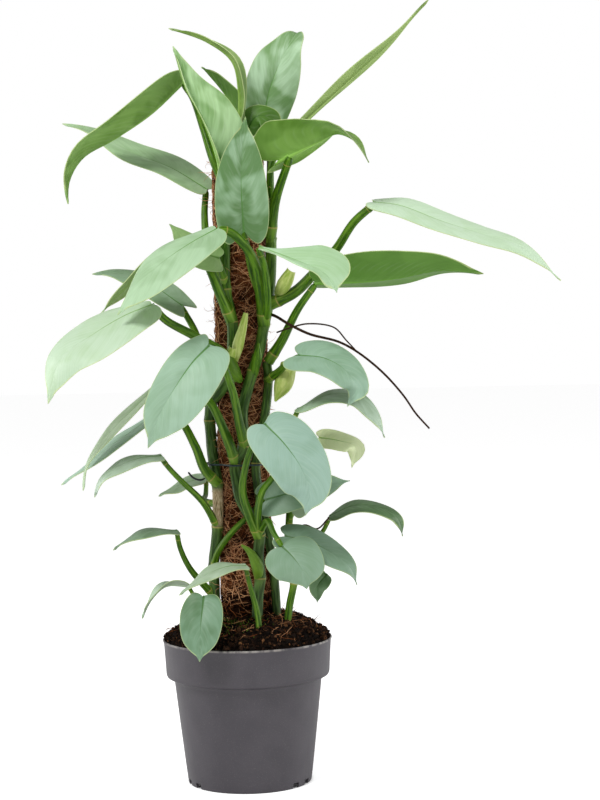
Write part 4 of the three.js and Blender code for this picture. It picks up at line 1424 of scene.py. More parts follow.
# The plant in the photograph, in millimetres
HEART, ARROW, OVAL, LANCE, KITE, SPOON = Outline
PALE, DARK = Tone.PALE, Tone.DARK
LEAVES = [
    Leaf("leaf_01", "vine_left", LANCE, 32, face=(-0.5, 0, 0.85),
         rib=[(-53, -8, 700), (-84, -22, 669), (-119, -34, 644), (-150, -42, 625), (-163, -46, 603),
              (-165, -48, 580)],
         stalk=[(-12, -31, 596), (-23, -27, 622), (-33, -14, 654), (-43, -8, 684)],
         fold=55, cup=-40, tint=(148, 186, 104), under=(138, 178, 92), bloom=0.6),
    Leaf("leaf_02", "vine_left", LANCE, 38, face=(0.85, -0.5, 0.2),
         rib=[(-14, -44, 592), (-18, -48, 622), (-31, -52, 659), (-47, -50, 690), (-59, -44, 731)],
         stalk=[(-14, -31, 545), (-15, -39, 568)],
         fold=42, left=0.6, tint=(188, 224, 168), bloom=0.45),
    Leaf("leaf_03", "vine_left", LANCE, 8.5, face=(0.6, -0.2, 0.7),
         rib=[(4, -28, 660), (4, -30, 690), (-2, -27, 717), (-27, -18, 738), (-65, -10, 753)],
         stalk=[(-6, -31, 605), (-1, -31, 632)],
         fold=55, thick=2.4, tint=(150, 178, 110), bloom=0.7),
    Leaf("leaf_04", "vine_left", LANCE, 14, face=(0.5, 0.3, 0.8),
         rib=[(4, 6, 668), (-15, 10, 695), (-34, 10, 717)],
         stalk=[(-6, -31, 606), (-4, -29, 634), (-1, -12, 650)],
         fold=50, thick=2.2, tint=(112, 150, 84), bloom=0.6),
    Leaf("leaf_05", "vine_front", LANCE, 27, face=(0.35, -0.9, 0.1),
         rib=[(25, 2, 654), (33, -4, 690), (46, -6, 722), (57, 0, 742), (62, 12, 749), (64, 22, 746)],
         stalk=[(31, -8, 545), (32, 0, 600), (32, 1, 628), (28, 2, 644)],
         fold=20, tip_face=(0.1, 0.2, 0.95), tint=(184, 216, 178), under=(176, 204, 140), bloom=0.42),
    Leaf("leaf_06", "vine_front", HEART, 26, face=(0, -1, 0.1),
         rib=[(6, -63, 551), (5, -70, 601), (10, -64, 660)],
         stalk=[(25, -22, 478), (14, -42, 508), (9, -56, 534)],
         fold=18, tint=(150, 184, 146), bloom=0.34),
    Leaf("leaf_07", "vine_front", ARROW, 42, face=(-0.2, 0.75, 0.6),
         rib=[(52, -40, 623), (80, -52, 636), (99, -58, 643), (118, -60, 633), (129, -58, 614)],
         stalk=[(31, -12, 545), (37, -22, 580)],
         fold=25, tip_face=(0.3, -0.6, 0.7), left=0.35, thick=3.6,
         tint=(125, 160, 80), under=(136, 182, 82), bloom=0.6),
    Leaf("leaf_08", "vine_front", OVAL, 13, face=(0, -0.9, 0.45),
         rib=[(10, -22, 650), (20, -26, 663), (34, -24, 662), (46, -18, 653)],
         stalk=[(32, -6, 546), (29, -12, 575), (24, -19, 600), (19, -24, 622), (12, -24, 642)],
         fold=12, thick=2.4, tint=(84, 126, 44), under=(82, 124, 40), bloom=0.7),
    Leaf("leaf_09", "vine_front", LANCE, 17, face=(-0.6, 0.25, 0.7),
         rib=[(63, 5, 658), (114, 10, 703), (160, 10, 744), (193, 5, 779)],
         stalk=[(31, -8, 540), (32, -10, 580), (33, -10, 614), (43, -4, 638)],
         fold=15, tint=(150, 178, 116), under=(148, 176, 96), bloom=0.7),
    Leaf("leaf_10", "vine_left", LANCE, 30, face=(0.25, -0.4, 0.88),
         rib=[(-32, 5, 595), (-68, 20, 618), (-106, 30, 634), (-145, 36, 656), (-178, 40, 666)],
         stalk=[(-15, -31, 505), (-30, -17, 535), (-34, -2, 568)],
         fold=12, tint=(178, 210, 164), under=(196, 204, 176)),
    Leaf("leaf_11", "vine_front", SPOON, 34, face=(-0.35, -0.5, 0.75),
         rib=[(-19, -85, 552), (-44, -100, 538), (-74, -112, 517), (-96, -116, 493), (-113, -114, 472)],
         stalk=[(24, -26, 460), (22, -38, 483), (20, -48, 498), (17, -62, 518), (7, -73, 536),
                (-7, -81, 549)],
         fold=6, cup=-30, thick=4, tint=(180, 212, 172), bloom=0.85),
    Leaf("leaf_12", "vine_left", SPOON, 37, face=(-0.35, -0.55, 0.75),
         rib=[(-83, -75, 481), (-108, -90, 471), (-137, -104, 454), (-167, -112, 432), (-181, -112, 389)],
         stalk=[(-7, -32, 405), (-15, -42, 429), (-43, -58, 449), (-71, -70, 466)],
         fold=6, cup=-30, thick=3.6, tone=PALE, tint=(200, 224, 194), bloom=0.9),
    Leaf("leaf_13", "vine_left", LANCE, 20, face=(-0.45, 0.3, 0.8),
         rib=[(-53, -32, 539), (-87, -40, 520), (-112, -44, 496), (-136, -44, 473)],
         stalk=[(-8, -33, 464), (-19, -46, 492), (-35, -42, 527)],
         thick=3.8, tone=PALE, tint=(166, 192, 152)),
    Leaf("leaf_14", "vine_left", HEART, 24, face=(0.3, -0.45, 0.85),
         rib=[(-60, 10, 480), (-92, 18, 502), (-124, 22, 513), (-150, 24, 513)],
         stalk=[(-33, -4, 378), (-37, 2, 420), (-46, 6, 452)],
         fold=8, tint=(150, 180, 148), under=(80, 108, 72)),
    Leaf("leaf_15", "vine_front", OVAL, 35, face=(0.1, -0.85, 0.45),
         rib=[(-29, -90, 440), (-44, -102, 425), (-61, -112, 401), (-75, -116, 377), (-87, -114, 345)],
         stalk=[(2, -33, 340), (-2, -50, 362), (-8, -64, 397), (-17, -78, 424)],
         fold=20, cup=-30, right=0.6, tint=(168, 200, 174), bloom=0.9),
    Leaf("leaf_16", "vine_front", LANCE, 21, face=(-0.65, -0.25, 0.7),
         rib=[(-78, -30, 406), (-104, -40, 381), (-131, -46, 355), (-151, -48, 328), (-157, -48, 300)],
         stalk=[(-7, -32, 322), (-15, -44, 349), (-32, -46, 386), (-55, -38, 403)],
         thick=3.2, tint=(204, 226, 192), under=(104, 146, 60), bloom=0.85),
    Leaf("leaf_17", "vine_left", LANCE, 24, face=(-0.5, -0.2, 0.8),
         rib=[(-87, -4, 373), (-101, -8, 362), (-132, -16, 341), (-157, -20, 321), (-181, -22, 304)],
         stalk=[(-26, -20, 302), (-38, -28, 317), (-47, -31, 341), (-64, -20, 368)],
         fold=8, thick=3.2, tint=(176, 206, 184), bloom=0.85),
    Leaf("leaf_18", "vine_left", LANCE, 17, face=(-0.1, -0.25, 0.95),
         rib=[(-80, -50, 333), (-99, -58, 332), (-120, -64, 325), (-136, -66, 314), (-144, -66, 295)],
         stalk=[(-27, -18, 259), (-40, -34, 285), (-61, -44, 308), (-73, -48, 322)],
         fold=4, thick=2.4, tint=(190, 210, 190), under=(120, 150, 96), bloom=0.85),
    Leaf("leaf_19", "vine_left", LANCE, 18, face=(-0.2, -0.3, 0.93),
         rib=[(-40, 38, 303), (-63, 46, 297), (-90, 50, 284)],
         stalk=[(-28, -19, 281), (-42, -4, 284), (-40, 21, 287)],
         fold=8, thick=2.2, tone=PALE, tint=(178, 204, 172), under=(166, 194, 154)),
    Leaf("leaf_20", "vine_left", LANCE, 18, face=(0, -0.1, 1),
         rib=[(-67, -30, 257), (-87, -38, 259), (-108, -44, 255), (-129, -46, 241)],
         stalk=[(-33, -5, 188), (-55, -18, 217), (-64, -24, 238)],
         fold=4, thick=2.3, tint=(132, 158, 130), under=(112, 142, 100), bloom=0.75),
    Leaf("leaf_21", "stalk_front", LANCE, 16, face=(-0.15, -0.25, 0.95),
         rib=[(1, -62, 225), (-15, -70, 226), (-37, -78, 219), (-63, -80, 200)],
         stalk=[(13, -52, 128), (13, -52, 150), (12, -53, 174), (6, -58, 202)],
         fold=8, thick=2.2, tint=(184, 204, 178), bloom=0.85),
    Leaf("leaf_22", "stalk_left", LANCE, 10, face=(-0.5, -0.05, 0.85),
         rib=[(-58, -20, 201), (-79, -28, 202), (-93, -34, 190), (-103, -36, 171)],
         stalk=[(-49, -18, 128), (-49, -18, 148), (-50, -19, 172), (-53, -20, 192)],
         fold=30, thick=1.8, tint=(190, 212, 188), under=(196, 216, 190), bloom=0.85),
    Leaf("leaf_23", "stalk_rim", OVAL, 20.5, face=(0, -0.93, 0.35),
         rib=[(-39, -84, 198), (-42, -100, 169), (-43, -104, 139)],
         stalk=[(-36, -60, 128), (-36, -60, 148), (-36, -63, 176), (-38, -76, 194)],
         thick=2.2, tint=(126, 160, 130), bloom=0.62),
    Leaf("leaf_24", "vine_front", KITE, 33, face=(0.05, -0.55, 0.85),
         rib=[(21, -86, 534), (60, -96, 519), (83, -100, 508), (95, -100, 489)],
         stalk=[(24, -24, 460), (27, -46, 483), (26, -66, 512)],
         fold=20, right=0.4, tone=PALE, tint=(188, 222, 180), under=(206, 228, 194), bloom=0.85),
    Leaf("leaf_25", "vine_right", LANCE, 36, face=(0, 0.5, 0.87),
         rib=[(75, -30, 499), (124, -38, 500), (158, -42, 503), (197, -44, 509), (239, -44, 505)],
         stalk=[(27, -20, 422), (41, -26, 443), (57, -30, 473)],
         fold=30, thick=3.2, tint=(206, 222, 176), under=(98, 146, 52), bloom=0.85),
    Leaf("leaf_26", "vine_front", LANCE, 30, face=(0.3, -0.4, 0.85),
         rib=[(135, -30, 577), (159, -38, 573), (198, -46, 557), (236, -50, 544), (275, -52, 530),
              (314, -50, 497)],
         stalk=[(28, -18, 478), (55, -24, 491), (75, -14, 510), (96, -16, 532), (114, -24, 558)],
         fold=8, thick=3.8, tone=PALE, tint=(214, 240, 208), bloom=0.9),
    Leaf("leaf_27", "vine_right", HEART, 28, face=(0.25, -0.6, 0.75),
         rib=[(58, -62, 429), (82, -72, 426), (102, -78, 414), (112, -80, 397), (103, -78, 379)],
         stalk=[(27, -20, 405), (36, -34, 412), (46, -50, 421)],
         thick=2.8, tint=(158, 190, 167), under=(84, 110, 62), bloom=0.85),
    Leaf("leaf_28", "vine_front", LANCE, 22, face=(-0.1, -0.15, 0.98),
         rib=[(56, -45, 377), (87, -52, 390), (114, -56, 387), (129, -56, 371), (140, -54, 347)],
         stalk=[(14, -38, 254), (15, -60, 280), (19, -64, 297), (30, -62, 312), (48, -52, 360)],
         fold=4, tip_face=(0.6, -0.5, 0.6), thick=2.4,
         tint=(178, 204, 178), under=(104, 138, 64), bloom=0.65),
    Leaf("leaf_29", "shoot_right", HEART, 15, face=(0.1, -0.6, 0.75),
         rib=[(77, -10, 345), (96, -16, 342), (111, -20, 336), (108, -20, 315)],
         stalk=[(44, -24, 264), (56, -10, 296), (72, -8, 330)],
         fold=8, thick=2, tone=PALE, tint=(244, 255, 206), under=(232, 244, 176), bloom=1),
    Leaf("leaf_30", "vine_front", OVAL, 31, face=(0.15, -0.85, 0.5),
         rib=[(24, -88, 364), (41, -100, 347), (57, -106, 324), (65, -106, 300), (61, -102, 277)],
         stalk=[(14, -38, 250), (6, -50, 273), (0, -56, 296), (4, -66, 324), (15, -80, 351)],
         thick=2.8, tint=(160, 192, 175), bloom=0.92),
    Leaf("leaf_31", "vine_left", HEART, 20, face=(0.1, -0.85, 0.5),
         rib=[(23, -48, 288), (56, -52, 297), (83, -50, 302), (105, -44, 305)],
         stalk=[(-33, -4, 217), (-26, -20, 236), (-10, -31, 257), (5, -32, 271), (15, -35, 281)],
         thick=2.4, tone=DARK, tint=(136, 166, 140), under=(104, 130, 84), bloom=0.85),
    Leaf("leaf_32", "shoot_right", LANCE, 18, face=(0, -0.28, 0.96),
         rib=[(86, 0, 266), (110, -6, 276), (135, -10, 274), (152, -12, 264), (158, -12, 245)],
         stalk=[(44, -27, 244), (58, -12, 238), (76, -2, 248)],
         fold=6, thick=2, tint=(92, 124, 82), under=(150, 176, 140), bloom=0.7),
    Leaf("leaf_33", "shoot_right", HEART, 20, face=(0.25, -0.65, 0.7),
         rib=[(42, -52, 252), (65, -60, 247), (89, -66, 234), (103, -68, 222), (110, -66, 205)],
         stalk=[(46, -28, 240), (43, -40, 246)],
         fold=8, thick=2.2, tone=DARK, tint=(130, 160, 135), bloom=0.88),
    Leaf("leaf_34", "vine_front", OVAL, 28, face=(0.1, -0.8, 0.55),
         rib=[(38, -80, 245), (48, -90, 236), (57, -96, 223), (61, -98, 206)],
         stalk=[(14, -38, 254), (24, -58, 268), (29, -68, 258)],
         fold=8, thick=2.4, tone=DARK, tint=(138, 168, 142), bloom=0.9),
    Leaf("leaf_35", "shoot_right", LANCE, 10, face=(0.3, -0.6, 0.6),
         rib=[(80, -35, 211), (71, -42, 200), (71, -46, 185)],
         stalk=[(49, -28, 210), (66, -30, 222)],
         fold=20, thick=1.6, tone=DARK, tint=(106, 138, 98), bloom=0.85),
    Leaf("leaf_36", "shoot_right", HEART, 18, face=(0, -0.9, 0.3),
         rib=[(46, -34, 276), (52, -38, 300), (58, -36, 328)],
         stalk=[(44, -26, 258), (46, -32, 266)],
         fold=8, thick=1.8, tone=PALE, tint=(150, 172, 140), under=(104, 116, 92)),
    Leaf("leaf_37", "vine_left", HEART, 18, face=(0.3, -0.8, 0.5),
         rib=[(-20, -50, 525), (-41, -62, 533), (-65, -66, 558)],
         stalk=[(-14, -30, 500), (-17, -42, 514)],
         fold=8, thick=2.4, tone=DARK, tint=(150, 182, 118), under=(140, 172, 100), bloom=0.7),
]
CLIMBERS = [
    Climber("vine_left", 5.5,
            [(-82, 128), (-82, 150), (-82, 186), (-84, 217), (-66, 238), (-57, 259), (-55, 302), (-72, 330),
             (-86, 347), (-90, 364, 1), (-82, 378), (-42, 393), (-17, 411, 1), (-15, 428), (-14, 462),
             (-25, 494), (-25, 540), (-20, 580), (-12, 614)],
            (217, 259, 302, 364, 411, 462, 494, 580), dry=(258, 299)),
    Climber("vine_front", 5.5,
            [(20, 128), (20, 150), (22, 190), (27, 208), (23, 232, 2), (23, 252, 6), (10, 270, 9),
             (-4, 288, 8), (-10, 304, 3), (-14, 322), (2, 340), (1, 373), (10, 394), (21, 413), (36, 436),
             (45, 459, 1), (60, 480), (76, 520), (80, 545)],
            (208, 252, 322, 340, 413, 459, 480, 545)),
    Climber("vine_right", 4.5,
            [(78, 128), (78, 150), (70, 190), (56, 230), (42, 262), (28, 295), (24, 322), (44, 364),
             (58, 405), (54, 422)],
            (230, 322, 405)),
]
SHEATHS = [
    Sheath([(-6, -31, 424), (-2, -40, 440), (3, -44, 457), (6.5, -46, 471)], [3.2, 5.4, 4.2, 2.2]),
    Sheath([(-12, -32, 425), (-9, -40, 432), (-7, -43, 438)], [4, 5.5, 3.6]),
    Sheath([(-1, -30, 404), (-7, -38, 414), (-13, -40, 430)], [3, 6.5, 5], papery=False, pale=0.2),
    Sheath([(12, -31, 409), (16, -38, 426), (18, -40, 441)], [3.5, 4.6, 0.8], papery=False),
    Sheath([(38, -20, 489), (44, -32, 498), (52, -38, 512)], [4, 7, 4.4]),
    Sheath([(47, -22, 419), (43, -28, 404), (33, -32, 383)], [8, 9, 0.8]),
    Sheath([(13, -30, 209), (12, -38, 222), (5, -41, 236), (-3, -42, 243)], [4, 5.8, 3.8, 0.8], papery=False,
           pale=0.35),
]
FORK = (114, -48, 431)
ROOTS = [
    Root("aerial_root_right", "vine_front",
         [(26, -20, 470), (35, -29, 467), (48, -40, 459), (68, -42, 449), (96, -42, 441), FORK,
          (138, -54, 411), (158, -56, 388), (170, -56, 370), (183, -56, 355)],
         [1.6, 1.2, 0.95],
         branch=[(36, -31, 451), (48, -41, 455), (66, -40, 459), (92, -40, 455), (104, -45, 442), FORK]),
    Root("aerial_root_low", "shoot_right",
         [(44, -26, 256), (50, -34, 256), (60, -38, 261), (72, -38, 257), (84, -38, 268)],
         [1, 0.9, 0.8]),
]


# Pot, soil and pole
def mound(r: Array) -> Array:
    """Height of the soil at a distance from the pole."""
    return POT_HEIGHT + (MOUND_HEIGHT - POT_HEIGHT) * (1 - (r / RIM_RADIUS) ** 3)


@dataclass
class Pot:
    """The nursery pot: a spun wall with a collar, a rolled lip, a drained floor and skirt notches.

    Attributes:
        drain_circle: radius of the circle on which the drain holes lie.
        notch_pairs: degrees round the pot at which the pairs of notches lie.
        notch_spread: degrees from the middle of a pair to each of its notches.
    """

    lip_radius: float = 0.95
    drain_radius: float = 4.5
    drain_circle: float = 53
    drain_height: float = 7
    drain_depth: float = 10
    drains: int = 8
    notch_pairs: tuple[int, ...] = (57, 177, 297)
    notch_spread: float = 9
    notch_size: Point = (8, 9, 6)
    notch_bevel: float = 0.8
    notch_sunk: float = 0.6
    steps: int = 120
    sharp: float = 32

    def profile(self) -> Route:
        """The wall's section, from the middle of the foot round to the middle of the floor.

        Returns:
            Its points, as (radius, height).
        """
        collar = POT_HEIGHT - COLLAR_HEIGHT
        roll = self.lip_radius
        lip = [(RIM_RADIUS - POT_WALL / 2 + roll * math.cos(a), POT_HEIGHT - roll + roll * math.sin(a))
               for a in np.linspace(0, math.pi, 7)]
        foot = [(0.4, 0), (42, 0), (43, 0.5), (45.6, CHANNEL_HEIGHT - 0.5), (46.4, CHANNEL_HEIGHT),
                (FOOT_RADIUS - POT_WALL, CHANNEL_HEIGHT), (FOOT_RADIUS - POT_WALL, 0), (FOOT_RADIUS - 0.5, 0)]
        outside = [(FOOT_RADIUS, 0.6), (62.4, 3), (64, 15), (69, 58), (73.9, collar - 6),
                   (74.8, collar - 3.2), (76.4, collar - 1.8), (79.6, collar - 1), (81.2, collar - 0.1),
                   (82, collar + 1.6), (82.2, collar + 4), (83.1, collar + 20), (84, POT_HEIGHT - 4),
                   (84.4, POT_HEIGHT - 3)]
        inside = [(83.1, POT_HEIGHT - 4), (80.2, collar + 6), (78.5, collar + 2.5), (74.5 - POT_WALL, collar),
                  (64 - POT_WALL, 15), (61, CHANNEL_HEIGHT + POT_WALL), (45, CHANNEL_HEIGHT + POT_WALL),
                  (41, POT_WALL), (0.4, POT_WALL)]
        return [*foot, *outside, *lip, *inside]

    def drain(self, turn: float) -> Piece:
        """A tool for a drain hole.

        Args:
            turn: radians round the pot.

        Returns:
            The tool.
        """
        deselect()
        x, y = self.drain_circle * math.cos(turn), self.drain_circle * math.sin(turn)
        bpy.ops.mesh.primitive_cylinder_add(
            vertices=28, radius=self.drain_radius * MM, depth=self.drain_depth * MM,
            location=(x * MM, y * MM, self.drain_height * MM))
        return bpy.context.object

    def notch(self, turn: float) -> Piece:
        """A tool for a skirt notch.

        Args:
            turn: radians round the pot.

        Returns:
            The tool.
        """
        deselect()
        high = self.notch_size[2] / 2 - self.notch_sunk
        at = (FOOT_RADIUS * math.sin(turn), -FOOT_RADIUS * math.cos(turn), high)
        bpy.ops.mesh.primitive_cube_add(size=1, location=tuple(c * MM for c in at), rotation=(0, 0, turn),
                                        scale=tuple(c * MM for c in self.notch_size))
        edit(bpy.context.object, ("bevel", {"offset": self.notch_bevel * MM, "segments": 2}))
        return bpy.context.object

    def build(self) -> None:
        """Spins the wall, cuts the holes and notches, and dresses it."""
        section = self.profile()
        edges = [(i, i + 1) for i in range(len(section) - 1)]
        mesh = bpy.data.meshes.new("pot_wall")
        mesh.from_pydata([(r * MM, 0, z * MM) for r, z in section], edges, [])
        wall = bpy.data.objects.new("pot_wall", mesh)
        bpy.context.scene.collection.objects.link(wall)
        spun = {"steps": self.steps, "angle": TAU, "center": (0, 0, 0), "axis": (0, 0, 1)}
        edit(wall, ("spin", spun), ("select_all", {"action": "SELECT"}), weld(POT_WELD), CAPS, OUTWARD)
        tools = [self.drain(TAU * (i + 0.5) / self.drains) for i in range(self.drains)]
        sides = (-self.notch_spread, self.notch_spread)
        tools += [self.notch(math.radians(middle + side)) for middle in self.notch_pairs for side in sides]
        tool = joined("pot_cutter", tools)
        modified(wall, "BOOLEAN", operation="DIFFERENCE", object=tool, solver="EXACT")
        bpy.data.objects.remove(tool)
        dress(smooth(wall, self.sharp), "pot_plastic", [PotFinish().build()], "pot")


@dataclass
class Soil:
    """Potting mix: a lumpy dome under loose crumbs, bits of fibre and a little moss.

    Attributes:
        fibre_reach: how far from the pole the bits of fibre start.
        dome_step: width of a ring of its faces.
        dome_sunk: how far its skin lies under the crumbs' middles.
        clear: radius round the pole that is left free of crumbs.
        waves: lumps of the surface, each as (turns in x, turns in y, start, height).
    """

    crumbs: int = 7600
    crumb_size: float = 0.76
    crumb_limit: float = 3.2
    fibres: int = 560
    fibre_reach: float = 75
    moss: int = 240
    moss_spread: float = 6
    seed: int = 5
    coir: Material | None = None
    moss_places: tuple[Point, ...] = ((-12, -40), (-26, -34), (-2, -52), (10, -46), (-20, -58), (-34, -22))
    dome_radius: float = 82.3
    dome_rings: int = 17
    dome_step: float = 4.5
    dome_depth: float = 60
    dome_sunk: float = 0.6
    dome_rim: float = POT_HEIGHT - 3
    clear: float = 25
    waves: tuple[Point, ...] = ((0.13, 0.05, 1.2, 0.9), (0.06, -0.15, 0.4, 0.8), (0.31, 0.22, 2.2, 0.5),
                                (-0.27, 0.35, 0.7, 0.5), (0.6, 0.5, 1.9, 0.25), (0.7, -0.6, 0.2, 0.25))

    def bumps(self, x: Array, y: Array) -> Array:
        """Lumps of the surface, in millimetres."""
        return sum(size * np.sin(a * x + b * y + c) for a, b, c, size in self.waves)

    def scatter(self, draw: Chance, count: int, reach: float = 83.5) -> Array:
        """Places on the surface, clear of the pole.

        Args:
            draw: the source of chance.
            count: how many.
            reach: how far out they lie, in millimetres.

        Returns:
            One row for each place.
        """
        r = np.sqrt(draw.uniform(self.clear**2, reach**2, count))
        turn = draw.uniform(0, TAU, count)
        x, y = r * np.cos(turn), r * np.sin(turn)
        return np.column_stack([x, y, mound(r) + self.bumps(x, y)])

    def dome(self) -> Piece:
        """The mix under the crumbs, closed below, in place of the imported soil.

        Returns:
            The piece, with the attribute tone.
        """
        deselect()
        bpy.ops.mesh.primitive_circle_add(vertices=96, radius=self.dome_radius * MM, fill_type="NGON")
        dome = bpy.context.object
        dome.name = dome.data.name = "soil_surface"
        rings = [("inset", {"thickness": self.dome_step * MM})] * self.dome_rings
        edit(dome, *rings, ("poke", {}))
        places = vertices(dome) / MM
        x, y = places[:, 0], places[:, 1]
        r = np.hypot(x, y)
        high = mound(r) - self.dome_sunk + self.bumps(x, y)
        places[:, 2] = np.where(r > self.dome_radius - 0.3, self.dome_rim, high)
        place(dome, places)
        modified(dome, "SOLIDIFY", thickness=self.dome_depth * MM, offset=-1)
        note(dome, tone=0.1)
        return dome

    def lumps(self, draw: Chance) -> Piece:
        """Loose crumbs of peat, each a small distorted lump.

        Args:
            draw: the source of chance.

        Returns:
            The crumbs as one piece, with the attribute tone.
        """
        deselect()
        bpy.ops.mesh.primitive_ico_sphere_add(subdivisions=1, radius=1)
        seed = bpy.context.object
        shape = vertices(seed)
        faces = np.array([p.vertices[:] for p in seed.data.polygons])
        bpy.data.objects.remove(seed)
        middles = self.scatter(draw, self.crumbs)
        size = draw.lognormal(0.05, 0.5, self.crumbs)[:, None, None] * self.crumb_size
        size = np.minimum(size, self.crumb_limit)
        jitter = 1 + draw.uniform(-0.35, 0.35, (self.crumbs, len(shape), 1))
        flat = draw.uniform(0.5, 1.3, (self.crumbs, 1, 3))
        places = shape[None] * jitter * flat * size + middles[:, None]
        numbers = faces[None] + (np.arange(self.crumbs) * len(shape))[:, None, None]
        piece = from_faces("soil_crumbs", places.reshape(-1, 3), numbers.reshape(-1, 3))
        note(piece, tone=np.repeat(draw.uniform(0, 0.85, self.crumbs) ** 1.6, len(shape)))
        return piece

    def build(self) -> None:
        """Models and dresses the mix, its fibres and its moss."""
        draw = np.random.default_rng(self.seed)
        whole = joined("soil_mix", [self.dome(), self.lumps(draw)])
        dress(smooth(whole, 40), "peat", [PEAT.build()], "potting_soil")
        starts = self.scatter(draw, self.fibres, self.fibre_reach)
        starts[:, 2] += draw.uniform(0.3, 1.4, self.fibres)
        strands = Strands(draw, starts, draw.uniform(5, 20, self.fibres), lift=0.03, curl=0.22)
        dress(strands.build("soil_fibres", (-0.1, 0.9)), "coir", [self.coir])
        spots = np.array(self.moss_places)[draw.integers(0, len(self.moss_places), self.moss)]
        x, y = (spots + draw.normal(0, self.moss_spread, (self.moss, 2))).T
        base = np.column_stack([x, y, mound(np.hypot(x, y)) + self.bumps(x, y)])
        tufts = Strands(draw, base, draw.uniform(1.5, 3.5, self.moss), lift=0.9, radius=(0.2, 0.4), bends=3)
        dress(tufts.build("moss", (0.2, 1.0)), "green_stem", [MOSS.build()])


@dataclass
class Strands:
    """Hundreds of thin bent fibres in one mesh.

    Attributes:
        lift: how steeply they rise, from 0 for flat to 1 for upright.
        radius: the smallest and the largest radius.
        curl: how much each step turns.
        heading: the directions in which they set off, or None for any.
    """

    draw: Chance
    starts: Array
    lengths: Array
    lift: float = 0.1
    radius: tuple[float, float] = (0.12, 0.3)
    bends: int = 5
    curl: float = 0.35
    heading: Array | None = None

    SIDES = 3
    ANY_WAY = (0.31, 0.22, 0.93)
    TAPER = 0.75

    def routes(self) -> Array:
        """The middle lines of fibres that wander.

        Returns:
            The lines: fibre, step, place.
        """
        count = len(self.starts)
        if self.heading is None:
            turn = self.draw.uniform(0, TAU, count)
            flat = np.column_stack([np.cos(turn), np.sin(turn), np.zeros(count)])
            now = unit(flat * (1 - self.lift) + np.array([0, 0, self.lift]))
        else:
            now = unit(self.heading)
        step = (self.lengths / self.bends)[:, None]
        lines = [self.starts]
        for _ in range(self.bends):
            now = unit(now + self.draw.normal(0, self.curl, (count, 3)))
            lines.append(lines[-1] + now * step)
        return np.stack(lines, 1)

    def build(self, name: str, tones: tuple[float, float], lines: Array | None = None) -> Piece:
        """Makes the fibres as three-sided tubes.

        Args:
            name: the object's name.
            tones: the darkest and palest tone.
            lines: the middle lines, or None for the ones that routes gives.

        Returns:
            The piece, with the attribute tone.
        """
        lines = self.routes() if lines is None else lines
        count, rows = lines.shape[:2]
        along = unit(np.gradient(lines, axis=1))
        top = across(np.broadcast_to(np.array(self.ANY_WAY), along.shape), along)
        side = np.cross(along, top)
        taper = 1 - self.TAPER * np.abs(np.linspace(-0.6, 1, rows)) ** 3
        thick = self.draw.uniform(*self.radius, count)[:, None] * taper
        k = np.arange(self.SIDES)
        turns = k * TAU / self.SIDES
        round_it = np.cos(turns)[:, None] * top[:, :, None] + np.sin(turns)[:, None] * side[:, :, None]
        places = lines[:, :, None] + thick[:, :, None, None] * round_it
        following = (k + 1) % self.SIDES
        quad = np.column_stack([k, following, following + self.SIDES, k + self.SIDES])
        cell = np.vstack([quad + i * self.SIDES for i in range(rows - 1)])
        faces = (cell[None] + (np.arange(count) * rows * self.SIDES)[:, None, None]).reshape(-1, 4)
        piece = from_faces(name, places.reshape(-1, 3), faces)
        note(piece, tone=np.repeat(self.draw.uniform(*tones, count), rows * self.SIDES))
        return piece


